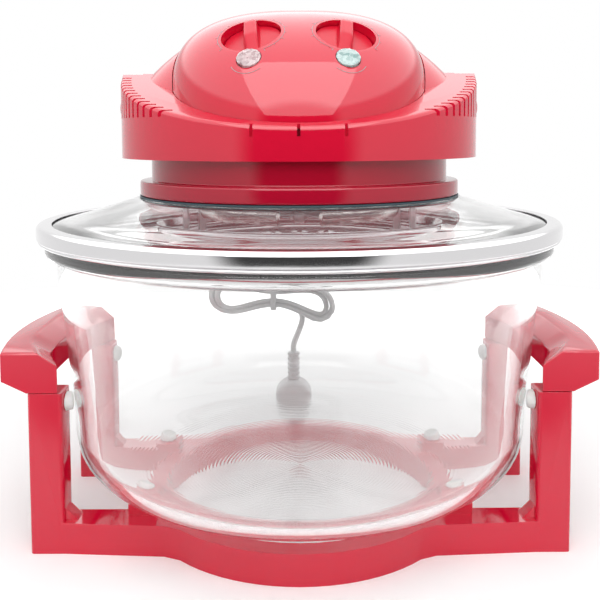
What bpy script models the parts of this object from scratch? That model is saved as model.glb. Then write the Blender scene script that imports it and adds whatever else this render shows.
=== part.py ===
"""Tabletop halogen oven: glass bowl in a red stand, glass lid with a heating head on top.

Metres, +Z up. The origin is on the floor under the bowl's axis, and the front faces -Y.
Each object is one piece of the oven. A moving piece has its origin on its joint's axis.
"""
import math
from math import cos, pi, radians, sin, sqrt

import bmesh
import bpy
from mathutils import Matrix, Vector

# %% Fits shared by all pieces
CLEARANCE = 0.0003          # gap between pieces that touch
RUNNING_GAP = 0.0006        # radial gap round a turning shaft
OVERRUN = 0.004             # how far a cutter runs past the face it cuts
ROUND_STEPS = 48            # sides of a large round piece
SMALL_STEPS = 12            # sides of a small round piece

# %% Glass bowl
BOWL_BASE_Z = 0.0250
BOWL_FLAT_R = 0.0480
BOWL_RIM_R = 0.1586
WALL_FLARE = 0.0098         # the wall leans out by this much from knee to rim
BOWL_KNEE_R = BOWL_RIM_R - WALL_FLARE
BOWL_KNEE_Z = 0.0820
BOWL_RIM_Z = 0.1800
LIP_OUT = 0.0064
BOWL_LIP_R = BOWL_RIM_R + LIP_OUT
BOWL_TOP_Z = 0.1898
BOWL_GLASS = 0.0050
KNEE_POWER_R = 2.0          # the knee is a superellipse with these two powers
KNEE_POWER_Z = 3.5
KNEE_STEPS = 7

# %% Stand: a ring on the floor, two straight rails and four posts in one moulding
RING_R = 0.1040
RING_WIDTH = 0.0130
BASE_HEIGHT = 0.0193
POST_TUCK = 0.0141          # the posts stand this far inside the rim, seen from the front
POST_INNER_X = BOWL_RIM_R - POST_TUCK
POST_WIDTH = 0.0210
POST_FRONT_Y = 0.0660
POST_DEPTH = 0.0190
POST_HEIGHT = 0.1000
RAIL_BOW = 0.0040           # the rail's front face swells this much towards the ring
RAIL_BLEND = 0.0060         # plan fillet between rail and ring
POST_ROUND = 0.0022
GUSSET_LEG = 0.0075
GUSSET_DEPTH = 0.0100
PEDESTAL_X = 0.0990
PEDESTAL_Y = 0.0470
PEDESTAL_SIZE = 0.0170
PEDESTAL_TOP = 0.0262

# %% Side handles: a hollow bar bowed outwards from the front post to the rear one
HANDLE_TOP = 0.1256
HANDLE_HEIGHT = 0.0180
HANDLE_OUT = 0.0245         # how far the middle stands out beyond the posts
HANDLE_REACH_X = POST_INNER_X + POST_WIDTH + HANDLE_OUT
HANDLE_BOW = 0.0090         # how much further out the middle is than the ends
HANDLE_SHOULDER = 0.0120    # width of the slope on the inner top edge
HANDLE_SLOPE = 0.0086       # how far that slope falls
FINGER_ROOM = 0.0175        # inner edge of the middle, out from the posts
HANDLE_MID_INNER_X = POST_INNER_X + FINGER_ROOM
HANDLE_WALL = 0.0026
HANDLE_ROUND = 0.0030

# %% White silicone pads between the stand and the bowl
PAD_R = 0.0059
PAD_ROUND = 0.0015
SIDE_PAD_Z = 0.0925
SIDE_PAD_Y = 0.0540

# %% Glass lid and its steel rim
LID_MARGIN = 0.0005         # the lid is this much wider than the bowl's lip
LID_EDGE_R = BOWL_LIP_R + LID_MARGIN
LID_EDGE_Z = 0.1988
LID_BRIM = 0.0205           # width of the flatter outer part
LID_BREAK_R = LID_EDGE_R - LID_BRIM
LID_BREAK_Z = 0.2040
LID_TOP_R = 0.1060
LID_TOP_Z = 0.2158
LID_HOLE_R = 0.1006
LID_COLLAR_Z = 0.2070
LID_GLASS = 0.0042
BAND_OUT = 0.0045
BAND_R = LID_EDGE_R + BAND_OUT
BAND_FOOT_OUT = 0.0007
BAND_FOOT_R = LID_EDGE_R + BAND_FOOT_OUT
BAND_LIP = 0.0050
BAND_METAL = 0.0007
GASKET_THICK = 0.0010

# %% Head: base with flange and neck, shell with ribbed ears, hood behind, dome in front
FLANGE_R = 0.1052
FLANGE_Z = 0.2175
FLANGE_TOP = 0.2270
NECK_R = 0.0977
BASE_WALL = 0.0045
SHELL_Z = 0.2415
SHELL_A = 0.1170
SHELL_B = 0.1050
SHELL_REAR_A = 0.1040
SHELL_REAR_B = 0.1010
EAR_END_Y = -0.0020         # the ears stop here and leave room for the carry handle
SHELL_WALL = 0.0025
ROOF_FRONT_Z = 0.2605
ROOF_RIDGE_Z = 0.2970
ROOF_ROUND = 0.0022
HOOD_A = 0.1376
HOOD_B = 0.0840
HOOD_C = 0.1376
HOOD_Y = 0.0080
HOOD_Z = 0.2005

DOME_A = 0.0800
DOME_B = 0.0740
DOME_Y = -0.0240
DOME_SEAM_Y = 0.0060
DOME_RISE = 0.0433
DOME_SKIRT_Z = 0.2500
DOME_POWER = 2.0
DOME_SIDE_POWER = 0.6       # the sides are this much squarer than the front
DOME_RINGS = 8
DOME_SIDES = 40
DOME_WALL = 0.0026
PASSAGE_HALF = 0.0620       # opening under the dome's rear wall, over the motor
PASSAGE_TOP = 0.2880
RISE_LEAN_SHARE = 0.09      # the dome rises a little more towards the front

KNOB_X = 0.0285
KNOB_Y = -0.0602
KNOB_Z = 0.3155
KNOB_LEAN = (0.20, -0.55, 0.81)
WELL_R = 0.0182
WELL_DEPTH = 0.0090
WELL_WALL = 0.0020
KNOB_R = 0.0176
KNOB_DISC = 0.0030
GRIP_WIDTH = 0.0070
GRIP_RISE = 0.0105
GRIP_ROUND = 0.0015
STUB_R = 0.0030
STUB_LENGTH = 0.0052

LENS_X = 0.0286
LENS_Y = -0.0785
LENS_R = 0.0072
LENS_LEAN = (0.12, -0.74, 0.66)
LENS_FLANGE = 0.0012

RIB_COUNT = 13
RIB_FIRST_Y = -0.0100
RIB_PITCH = 0.0055
RIB_GAP = 0.0023
RIB_DEPTH = 0.0014
RIB_REACH = 0.0068          # length of each groove along the roof
RIB_FOOT_Z = 0.2668
NOTCH_PITCH = 0.0262
NOTCH_WIDTH = 0.0016
NOTCH_DEPTH = 0.0052

# %% Carry handle: a bail that lies round the back of the hood
BAIL_PIVOT_Y = 0.0090
BAIL_PIVOT_Z = 0.2740
BAIL_INNER_X = 0.1055
BAIL_INNER_Y = 0.1040
BAIL_WIDTH = 0.0115
BAIL_HEIGHT = 0.0150
BAIL_DROOP = 0.0080
BAIL_HUB_R = 0.0102
BAIL_STATIONS = 19
SPINDLE_R = 0.0050
SPINDLE_END_X = 0.0965
CAP_R = 0.0066
CAP_THICK = 0.0034
CAM_THICK = 0.0050
CAM_LOBE_R = 0.0076
CAM_LOBE_HALF = 0.0018
PLUNGER_R = 0.0015
PLUNGER_GAP = 0.0007
SWITCH_SIZE = (0.0090, 0.0200, 0.0100)
SWITCH_Y = -0.0200

# %% Heater, fans and guard under the head
REFLECTOR_R = 0.0990
REFLECTOR_THICK = 0.0008
REFLECTOR_HOLE_R = 0.0060
LAMP_RING_R = 0.0620
LAMP_TUBE_R = 0.0050
LAMP_Z = 0.2055
LAMP_GAP_DEG = 24
CLIP_COUNT = 3
CLIP_WIDTH = 0.0060
CLIP_METAL = 0.0010
GUARD_R = 0.0950
GUARD_RIM_Z = 0.2000
GUARD_STEP_R = 0.0860
GUARD_FLOOR_Z = 0.1872
GUARD_FLOOR_R = 0.0800
GUARD_METAL = 0.0010
GUARD_EYE_R = 0.0140
GUARD_RINGS = ((0.0340, 10), (0.0580, 18))
GUARD_HOLE_R = 0.0070
GUARD_POST_ANGLES = (30, 150, 210, 330)
GUARD_POST_R = 0.0815
GUARD_POST_WIDTH = 0.0074
GUARD_POST_METAL = 0.0012
FAN_BLADES = 6
HOT_FAN_R = 0.0400
HOT_FAN_Z = 0.2030
COOL_FAN_R = 0.0440
COOL_FAN_Z = 0.2300
FAN_HEIGHT = 0.0060
FAN_PLATE = 0.0010
FAN_HUB_R = 0.0085
SHAFT_R = 0.0030
SHAFT_LOW_Z = 0.1975
NUT_R = 0.0060
NUT_HEIGHT = 0.0030
BRACKET_HALF = 0.0520
BRACKET_WIDTH = 0.0160
BRACKET_METAL = 0.0020
MOTOR_Z = 0.2460
MOTOR_R = 0.0240
MOTOR_HEIGHT = 0.0280
MOTOR_CAN_R = 0.0150
MOTOR_CAN_HEIGHT = 0.0090
MOTOR_BORE = 0.0060
CONTROL_R = 0.0150
CONTROL_LENGTH = 0.0180

# %% Cord: out of the back of the neck, over the lid, tied in a hank behind the bowl
CORD_R = 0.0025
CORD_BEVEL_STEPS = 2
GLAND_X = -0.0150
GLAND_Z = 0.2340
GLAND_R = 0.0050
GLAND_FLANGE_R = 0.0066
GLAND_FLANGE = 0.0020
GLAND_ROOT = 0.0060
GLAND_TAIL = 0.0230
GLAND_TIP_R = 0.0034
HANK_CENTRE = Vector((-0.0240, 0.1692, 0.1190))
HANK_HALF = 0.0480          # half the length of a run
HANK_WAIST = 0.0029         # half the gap between the runs where they are tied
HANK_SWELL = 0.0260
HANK_DROOP = 0.0130
HANK_PITCH = 0.0057
HANK_TURNS = 3.5
HANK_LOOP_POINTS = 24
HANK_LEAD = 0.0040          # straight run at each end of the hank
TIE_WIDTH = 0.0050
TIE_THICK = 0.0012
PLUG_X = -0.0060
PLUG_Y = 0.1780
PLUG_R = 0.0165
PLUG_THICK = 0.0220
PLUG_FOOT_Z = 0.0006
PLUG_ROUND = 0.0020
PIN_R = 0.0024
PIN_LENGTH = 0.0190
PIN_PITCH = 0.0190
RELIEF_R = 0.0056
RELIEF_LENGTH = 0.0260
RELIEF_RIBS = 5
RELIEF_GROOVE = 0.0009

UPPER_ROUTE = (
    (-0.0150, 0.1280, 0.2340),
    (-0.0150, 0.1380, 0.2336),
    (-0.0150, 0.1500, 0.2300),
    (-0.0147, 0.1620, 0.2225),
    (-0.0140, 0.1725, 0.2130),
    (-0.0128, 0.1803, 0.2005),
    (-0.0100, 0.1842, 0.1860),
    (-0.0045, 0.1840, 0.1725),
    (0.0050, 0.1808, 0.1620),
    (0.0125, 0.1762, 0.1525),
    (0.0120, 0.1720, 0.1440),
    (0.0035, 0.1699, 0.1378),
)
LOWER_ROUTE = (
    (-0.0080, 0.1806, 0.1045),
    (0.0000, 0.1802, 0.0985),
    (0.0022, 0.1796, 0.0895),
    (-0.0008, 0.1788, 0.0800),
    (-0.0045, 0.1780, 0.0715),
)

# %% Finishes
FINISHES = {
    "red_plastic": ((0.56, 0.010, 0.028), 0.22, 0.0, 0.0),
    "dark_red_plastic": ((0.36, 0.006, 0.022), 0.25, 0.0, 0.0),
    "white_silicone": ((0.86, 0.86, 0.85), 0.55, 0.0, 0.0),
    "clear_glass": ((0.95, 0.97, 0.97), 0.03, 0.0, 1.0),
    "steel": ((0.74, 0.74, 0.75), 0.18, 1.0, 0.0),
    "dull_steel": ((0.52, 0.52, 0.53), 0.38, 1.0, 0.0),
    "black_rubber": ((0.02, 0.02, 0.02), 0.6, 0.0, 0.0),
    "black_plastic": ((0.04, 0.04, 0.04), 0.45, 0.0, 0.0),
    "clear_lens": ((0.85, 0.62, 0.62), 0.12, 0.0, 0.6),
    "green_lens": ((0.42, 0.72, 0.66), 0.12, 0.0, 0.6),
    "grey_cord": ((0.74, 0.72, 0.72), 0.5, 0.0, 0.0),
    "quartz": ((0.86, 0.86, 0.84), 0.08, 0.0, 0.8),
}


def make_material(name):
    """Principled material from the table of finishes: colour, roughness, metal, clearness."""
    colour, roughness, metallic, clearness = FINISHES[name]
    material = bpy.data.materials.new(name)
    material.use_nodes = True
    shader = material.node_tree.nodes["Principled BSDF"]
    shader.inputs["Base Color"].default_value = (*colour, 1.0)
    shader.inputs["Roughness"].default_value = roughness
    shader.inputs["Metallic"].default_value = metallic
    shader.inputs["Transmission Weight"].default_value = clearness
    return material


def clear_scene():
    for old in list(bpy.data.objects):
        bpy.data.objects.remove(old, do_unlink=True)


# %% Building blocks
def finish(bm, name, material=None, place=None):
    """Turn a bmesh into an object whose normals point out, smooth but for its sharp edges."""
    bmesh.ops.remove_doubles(bm, verts=bm.verts, dist=1e-6)
    bmesh.ops.recalc_face_normals(bm, faces=bm.faces)
    mesh = bpy.data.meshes.new(name)
    bm.to_mesh(mesh)
    bm.free()
    mesh.shade_smooth()
    mesh.set_sharp_from_angle(angle=radians(35))
    piece = bpy.data.objects.new(name, mesh)
    bpy.context.scene.collection.objects.link(piece)
    if material:
        mesh.materials.append(MATERIALS[material])
    if place:
        piece.matrix_world = place
    return piece


def as_cutter(piece):
    piece.hide_render = True
    piece.display_type = "WIRE"
    return piece


def combine(piece, other, operation):
    """Boolean of two pieces; the other one only guides the shape."""
    boolean = piece.modifiers.new(operation.lower() + "_" + other.name, "BOOLEAN")
    boolean.object = as_cutter(other)
    boolean.operation = operation
    boolean.solver = "EXACT"
    return piece


def revolve_mesh(profile, steps):
    """Turn a closed outline of (radius, height) pairs round Z."""
    bm = bmesh.new()
    verts = [bm.verts.new((radius, 0, height)) for radius, height in profile]
    edges = [bm.edges.new((a, b)) for a, b in zip(verts, verts[1:] + verts[:1])]
    on_axis = [e for e in edges if e.verts[0].co.x == 0 and e.verts[1].co.x == 0]
    for edge in on_axis:
        bm.edges.remove(edge)
    bmesh.ops.spin(bm, geom=bm.verts[:] + bm.edges[:], axis=(0, 0, 1), cent=(0, 0, 0),
                   angle=2 * pi, steps=steps, use_merge=True)
    return bm


def revolve(name, profile, material=None, steps=ROUND_STEPS, place=None):
    return finish(revolve_mesh(profile, steps), name, material, place)


def prism_mesh(outline, low, high, axis="Z"):
    """Extrude a closed plan outline from low to high along Z, Y or X."""
    bm = bmesh.new()
    order = {"Z": lambda u, v, w: (u, v, w), "Y": lambda u, v, w: (u, w, v),
             "X": lambda u, v, w: (w, u, v)}[axis]
    base = bm.faces.new([bm.verts.new(order(u, v, low)) for u, v in outline])
    extruded = bmesh.ops.extrude_face_region(bm, geom=[base])
    tops = [item for item in extruded["geom"] if isinstance(item, bmesh.types.BMVert)]
    bmesh.ops.translate(bm, verts=tops, vec=Vector(order(0, 0, high - low)))
    return bm


def prism(name, outline, low, high, axis="Z", material=None, place=None):
    return finish(prism_mesh(outline, low, high, axis), name, material, place)


def loft_mesh(sections):
    """Skin a row of closed sections with equal counts, and close both ends."""
    bm = bmesh.new()
    rings = [[bm.verts.new(point) for point in section] for section in sections]
    count = len(rings[0])
    for near, far in zip(rings, rings[1:]):
        for i in range(count):
            j = (i + 1) % count
            bm.faces.new((near[i], near[j], far[j], far[i]))
    bm.faces.new(rings[0])
    bm.faces.new(list(reversed(rings[-1])))
    return bm


def box_outline(centre_u, centre_v, size_u, size_v):
    du, dv = size_u / 2, size_v / 2
    return [(centre_u - du, centre_v - dv), (centre_u + du, centre_v - dv),
            (centre_u + du, centre_v + dv), (centre_u - du, centre_v + dv)]


def arc(centre_u, centre_v, radius, start_deg, end_deg, steps):
    """Points of an arc, both ends included."""
    turn = radians(end_deg - start_deg)
    first = radians(start_deg)
    return [(centre_u + radius * cos(first + turn * i / steps),
             centre_v + radius * sin(first + turn * i / steps)) for i in range(steps + 1)]


def circle_outline(centre_u, centre_v, radius, steps=SMALL_STEPS):
    return arc(centre_u, centre_v, radius, 0, 360, steps)[:-1]


def slice_off(bm, point, normal):
    """Remove what lies on the normal's side of a plane, and close the cut."""
    geometry = bm.verts[:] + bm.edges[:] + bm.faces[:]
    cut = bmesh.ops.bisect_plane(bm, geom=geometry, dist=1e-7, plane_co=point,
                                 plane_no=normal, clear_outer=True)
    edges = [item for item in cut["geom_cut"] if isinstance(item, bmesh.types.BMEdge)]
    bmesh.ops.holes_fill(bm, edges=edges, sides=0)


def lean_matrix(point, normal):
    """Frame at a point with its Z along the normal and its X level."""
    z_axis = Vector(normal).normalized()
    x_axis = Vector((0, 0, 1)).cross(z_axis).normalized()
    y_axis = z_axis.cross(x_axis)
    turn = Matrix((x_axis, y_axis, z_axis)).transposed()
    return Matrix.Translation(point) @ turn.to_4x4()


def smooth_route(points, start_dir, end_dir, spacing):
    """Even points on a smooth curve through a list of route points."""
    points = [Vector(p) for p in points]
    tangents = [(b - a) / 2 for a, b in zip(points, points[2:])]
    first = Vector(start_dir).normalized() * (points[1] - points[0]).length
    last = Vector(end_dir).normalized() * (points[-1] - points[-2]).length
    tangents = [first] + tangents + [last]
    fine = []
    steps = 12
    for p, q, tp, tq in zip(points, points[1:], tangents, tangents[1:]):
        for i in range(steps):
            t = i / steps
            fine.append(p * (2 * t ** 3 - 3 * t ** 2 + 1) + tp * (t ** 3 - 2 * t ** 2 + t)
                        + q * (3 * t ** 2 - 2 * t ** 3) + tq * (t ** 3 - t ** 2))
    fine.append(points[-1])
    total = sum((b - a).length for a, b in zip(fine, fine[1:]))
    count = max(4, round(total / spacing))
    even, walked, target = [fine[0]], 0.0, total / count
    for a, b in zip(fine, fine[1:]):
        step = (b - a).length
        while walked + step >= target and len(even) < count:
            even.append(a.lerp(b, (target - walked) / step))
            target += total / count
        walked += step
    return even + [fine[-1]]


def led_route(start, start_dir, middle, end, end_dir):
    """Smooth route whose first and last diameters are straight."""
    near = start + Vector(start_dir) * 2 * CORD_R
    far = end - Vector(end_dir) * 2 * CORD_R
    route = smooth_route([near] + list(middle) + [far], start_dir, end_dir, CORD_R * 4)
    return [start] + route + [end]


def path_length(points):
    return sum((b - a).length for a, b in zip(points, points[1:]))


def tube(name, points, radius, level, material):
    """Curve object with a round bevel and filled caps."""
    curve = bpy.data.curves.new(name, "CURVE")
    curve.dimensions = "3D"
    curve.bevel_depth = radius
    curve.bevel_resolution = level
    curve.use_fill_caps = True
    spline = curve.splines.new("POLY")
    spline.points.add(len(points) - 1)
    for target, point in zip(spline.points, points):
        target.co = (*point, 1.0)
    curve.materials.append(MATERIALS[material])
    piece = bpy.data.objects.new(name, curve)
    bpy.context.scene.collection.objects.link(piece)
    return piece


# %% Glass bowl
def knee_point(share, inset=0.0):
    """Point of the bowl's knee; share runs from 0 on the base to 1 on the wall."""
    angle = share * pi / 2
    reach = BOWL_KNEE_R - BOWL_FLAT_R
    drop = BOWL_KNEE_Z - BOWL_BASE_Z
    radius = BOWL_FLAT_R + (reach - inset) * sin(angle) ** (2 / KNEE_POWER_R)
    height = BOWL_KNEE_Z - (drop - inset) * cos(angle) ** (2 / KNEE_POWER_Z)
    return radius, height


def bowl_wall_r(height):
    """Outer radius of the bowl's wall at a height above the knee."""
    share = (height - BOWL_KNEE_Z) / (BOWL_RIM_Z - BOWL_KNEE_Z)
    return BOWL_KNEE_R + share * (BOWL_RIM_R - BOWL_KNEE_R)


def bowl_base_height(radius):
    """Height and slope of the bowl's outside under its knee, at a radius."""
    reach = BOWL_KNEE_R - BOWL_FLAT_R
    share = math.asin(((radius - BOWL_FLAT_R) / reach) ** (KNEE_POWER_R / 2)) / (pi / 2)
    near = knee_point(share)
    step = 0.01
    far = knee_point(share + step)
    return near[1], (far[1] - near[1]) / (far[0] - near[0])


def make_bowl():
    shares = [(i / KNEE_STEPS) ** 1.0 for i in range(KNEE_STEPS + 1)]
    outer = [knee_point(s) for s in shares]
    inner = [knee_point(s, BOWL_GLASS) for s in shares]
    lip = BOWL_TOP_Z - BOWL_RIM_Z
    lip_out = BOWL_LIP_R - BOWL_RIM_R
    rim = [(BOWL_RIM_R, BOWL_RIM_Z), (BOWL_RIM_R + lip_out * 0.75, BOWL_RIM_Z + lip * 0.18),
           (BOWL_LIP_R, BOWL_RIM_Z + lip * 0.42), (BOWL_LIP_R, BOWL_RIM_Z + lip * 0.82),
           (BOWL_LIP_R - lip * 0.18, BOWL_TOP_Z), (BOWL_RIM_R - lip * 0.05, BOWL_TOP_Z),
           (BOWL_RIM_R - BOWL_GLASS * 0.8, BOWL_RIM_Z + lip * 0.7),
           (BOWL_RIM_R - BOWL_GLASS, BOWL_RIM_Z)]
    profile = [(0, BOWL_BASE_Z)] + outer + rim + inner[::-1] + [(0, BOWL_BASE_Z + BOWL_GLASS)]
    revolve("glass_bowl", profile, "clear_glass")


# %% Stand
def rounded_outline(centre_u, centre_v, size_u, size_v, radius):
    """Plan of a rounded rectangle."""
    du, dv = size_u / 2 - radius, size_v / 2 - radius
    points = []
    for start, su, sv in ((0, 1, 1), (90, -1, 1), (180, -1, -1), (270, 1, -1)):
        points += arc(centre_u + su * du, centre_v + sv * dv, radius, start, start + 90, 3)
    return points


def stand_plan():
    """Right half of the ring in plan, with the two rails that run out to the posts."""
    inner_r = RING_R - RING_WIDTH
    back_y = POST_FRONT_Y - POST_DEPTH
    bow_y = POST_FRONT_Y + RAIL_BOW
    join_front = math.degrees(math.asin(bow_y / RING_R))
    join_back = math.degrees(math.asin(back_y / RING_R))
    lead = math.degrees(RAIL_BLEND / RING_R)
    blend_x = RING_R * cos(radians(join_front)) + RAIL_BLEND
    back_x = RING_R * cos(radians(join_back)) + RAIL_BLEND
    end_x = POST_INNER_X + POST_WIDTH / 2
    nose = arc(0, 0, RING_R, -90, -join_front - lead, 10)
    side = arc(0, 0, RING_R, lead - join_back, join_back - lead, 8)
    tail = arc(0, 0, RING_R, join_front + lead, 90, 10)
    hole = arc(0, 0, inner_r, 90, -90, 26)
    front = [(blend_x, -bow_y), (POST_INNER_X, -POST_FRONT_Y), (end_x, -POST_FRONT_Y),
             (end_x, -back_y), (back_x, -back_y)]
    rear = [(u, -v) for u, v in reversed(front)]
    return nose + front + side + rear + tail + hole


def make_stand():
    """Raise the ring and rails, mirror them, and join the posts, gussets and pedestals."""
    bm = prism_mesh(stand_plan(), 0, BASE_HEIGHT)
    bmesh.ops.recalc_face_normals(bm, faces=bm.faces)
    middle = [f for f in bm.faces if abs(f.normal.x) > 0.9 and abs(f.calc_center_median().x) < 1e-6]
    bmesh.ops.delete(bm, geom=middle, context="FACES_ONLY")
    bmesh.ops.mirror(bm, geom=bm.verts[:] + bm.edges[:] + bm.faces[:], axis="X", merge_dist=1e-5)
    stand = finish(bm, "stand_base", "red_plastic")
    index = 0
    for sx in (-1, 1):
        for sy in (-1, 1):
            index += 1
            post_x = sx * (POST_INNER_X + POST_WIDTH / 2)
            post_y = sy * (POST_FRONT_Y - POST_DEPTH / 2)
            outline = rounded_outline(post_x, post_y, POST_WIDTH, POST_DEPTH, POST_ROUND)
            combine(stand, prism("post_%d" % index, outline, 0, POST_HEIGHT), "UNION")
            bury = POST_ROUND
            wedge = [(sx * (POST_INNER_X + bury), BASE_HEIGHT - bury),
                     (sx * (POST_INNER_X - GUSSET_LEG - bury), BASE_HEIGHT - bury),
                     (sx * (POST_INNER_X + bury), BASE_HEIGHT + GUSSET_LEG + bury)]
            gusset = prism("gusset_%d" % index, wedge, post_y - GUSSET_DEPTH / 2,
                           post_y + GUSSET_DEPTH / 2, "Y")
            combine(stand, gusset, "UNION")
            block = box_outline(sx * PEDESTAL_X, sy * PEDESTAL_Y, PEDESTAL_SIZE, PEDESTAL_SIZE)
            pedestal = prism("pedestal_%d" % index, block, BASE_HEIGHT / 4, PEDESTAL_TOP)
            combine(stand, pedestal, "UNION")


def handle_section(y, inset):
    """Five-cornered section of a side handle at a place along its length."""
    half = POST_FRONT_Y
    outer = HANDLE_REACH_X - HANDLE_BOW * (y / half) ** 2 - inset
    grip = 1 - min(1, (abs(y) / half) ** 4 * 1.6)
    inner = POST_INNER_X + POST_ROUND + (HANDLE_MID_INNER_X - POST_INNER_X - POST_ROUND) * grip
    inner += inset
    top = HANDLE_TOP - inset
    low = HANDLE_TOP - HANDLE_HEIGHT - (inset and OVERRUN)
    post_low = POST_HEIGHT + CLEARANCE - (inset and OVERRUN)
    keel = POST_INNER_X + POST_WIDTH + CLEARANCE
    return [(inner, y, post_low), (keel, y, post_low), (outer, y, low), (outer, y, top),
            (inner + HANDLE_SHOULDER - inset / 2, y, top), (inner, y, top - HANDLE_SLOPE)]


def make_handle(name, sign):
    """Bowed bar, hollow underneath between the posts."""
    stations = 10
    half = POST_FRONT_Y
    ys = [half * (2 * i / stations - 1) for i in range(stations + 1)]
    shell = loft_mesh([[(sign * x, y, z) for x, y, z in handle_section(y, 0)] for y in ys])
    bmesh.ops.recalc_face_normals(shell, faces=shell.faces)
    corners = [e for e in shell.edges if len(e.link_faces) == 2 and e.calc_face_angle() > 0.6
               and e.verts[0].co.z > HANDLE_TOP - HANDLE_SLOPE / 2
               and e.verts[1].co.z > HANDLE_TOP - HANDLE_SLOPE / 2]
    bmesh.ops.bevel(shell, geom=corners, offset=HANDLE_ROUND / 2, segments=2, profile=0.5,
                    affect="EDGES", material=-1)
    handle = finish(shell, name, "red_plastic")
    reach = half - POST_DEPTH - HANDLE_WALL
    ys = [reach * (2 * i / stations - 1) for i in range(stations + 1)]
    hollow = loft_mesh([[(sign * x, y, z) for x, y, z in handle_section(y, HANDLE_WALL)]
                        for y in ys])
    combine(handle, finish(hollow, name + "_hollow"), "DIFFERENCE")


def pad_profile(length):
    return [(0, 0), (PAD_R, 0), (PAD_R, length - PAD_ROUND),
            (PAD_R - PAD_ROUND * 0.3, length - PAD_ROUND * 0.3), (PAD_R - PAD_ROUND, length),
            (0, length)]


def make_pads():
    """Eight buttons: four against the bowl's wall, four under its base."""
    seat_r = bowl_wall_r(SIDE_PAD_Z + PAD_R) + CLEARANCE
    face_x = POST_INNER_X - CLEARANCE
    base_r = sqrt(PEDESTAL_X ** 2 + PEDESTAL_Y ** 2)
    base_z, slope = bowl_base_height(base_r)
    tilt = math.atan(slope)
    corners = {"front_left": (-1, -1), "front_right": (1, -1),
               "rear_left": (-1, 1), "rear_right": (1, 1)}
    for word, (sx, sy) in corners.items():
        turn = math.asin(SIDE_PAD_Y / seat_r)
        inward = Vector((-sx * cos(turn), -sy * sin(turn), 0))
        length = POST_WIDTH
        tip = Vector((-seat_r * inward.x, -seat_r * inward.y, SIDE_PAD_Z))
        place = lean_matrix(tip - inward * length, inward)
        bm = revolve_mesh(pad_profile(length), SMALL_STEPS)
        bmesh.ops.transform(bm, matrix=place, verts=bm.verts)
        bmesh.ops.remove_doubles(bm, verts=bm.verts, dist=1e-6)
        bmesh.ops.recalc_face_normals(bm, faces=bm.faces)
        slice_off(bm, (sx * face_x, 0, 0), (sx, 0, 0))
        finish(bm, "side_pad_" + word, "white_silicone")
        out = Vector((sx * PEDESTAL_X, sy * PEDESTAL_Y, 0)) / base_r
        up = Vector((-out.x * sin(tilt), -out.y * sin(tilt), cos(tilt)))
        tip = Vector((sx * PEDESTAL_X, sy * PEDESTAL_Y, base_z)) - up * CLEARANCE * 1.6
        bm = revolve_mesh(pad_profile(length), SMALL_STEPS)
        bmesh.ops.transform(bm, matrix=lean_matrix(tip - up * length, up), verts=bm.verts)
        bmesh.ops.remove_doubles(bm, verts=bm.verts, dist=1e-6)
        bmesh.ops.recalc_face_normals(bm, faces=bm.faces)
        slice_off(bm, (0, 0, PEDESTAL_TOP + CLEARANCE), (0, 0, -1))
        finish(bm, "base_pad_" + word, "white_silicone")


# %% Lid
def lid_under(radius, height):
    return radius, height - LID_GLASS


def make_lid():
    top = [(LID_EDGE_R, LID_EDGE_Z - LID_GLASS * 0.3), (LID_EDGE_R - LID_GLASS * 0.3, LID_EDGE_Z),
           (LID_BREAK_R, LID_BREAK_Z), (LID_TOP_R, LID_TOP_Z), (LID_HOLE_R + LID_GLASS * 0.3, LID_TOP_Z),
           (LID_HOLE_R, LID_TOP_Z - LID_GLASS * 0.3)]
    collar_r = LID_HOLE_R + LID_GLASS
    under = [(LID_HOLE_R, LID_COLLAR_Z + LID_GLASS * 0.3), (LID_HOLE_R + LID_GLASS * 0.3, LID_COLLAR_Z),
             (collar_r, LID_COLLAR_Z + LID_GLASS * 0.2), (collar_r, LID_TOP_Z - LID_GLASS * 1.2),
             lid_under(LID_TOP_R + LID_GLASS, LID_TOP_Z - LID_GLASS * 0.3),
             lid_under(LID_BREAK_R, LID_BREAK_Z), lid_under(LID_EDGE_R, LID_EDGE_Z)]
    revolve("glass_lid", top + under, "clear_glass")
    low = BOWL_TOP_Z + CLEARANCE
    high = LID_EDGE_Z + BAND_LIP * 0.35
    tuck = LID_EDGE_R - BAND_LIP
    rise = (LID_BREAK_Z - LID_EDGE_Z) / (LID_EDGE_R - LID_BREAK_R)
    lip_z = LID_EDGE_Z + BAND_LIP * rise + CLEARANCE * 2
    band = [(tuck, low), (BAND_FOOT_R, low), (BAND_FOOT_R + BAND_METAL, low + BAND_METAL),
            (BAND_R, high - BAND_METAL * 3), (BAND_R - BAND_METAL, high - BAND_METAL),
            (BAND_R - BAND_METAL * 3, high + BAND_METAL), (tuck, lip_z + BAND_METAL),
            (tuck, lip_z), (LID_EDGE_R, high), (BAND_R - BAND_METAL * 2.5, high - BAND_METAL * 3),
            (BAND_FOOT_R - BAND_METAL, low + BAND_METAL * 1.5), (tuck, low + BAND_METAL)]
    revolve("lid_rim_band", band, "steel")
    foot = LID_TOP_Z + CLEARANCE
    revolve("lid_gasket", [(LID_HOLE_R, foot), (LID_TOP_R - CLEARANCE, foot),
                           (LID_TOP_R - CLEARANCE, FLANGE_Z - CLEARANCE),
                           (LID_HOLE_R, FLANGE_Z - CLEARANCE)], "black_rubber")


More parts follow.
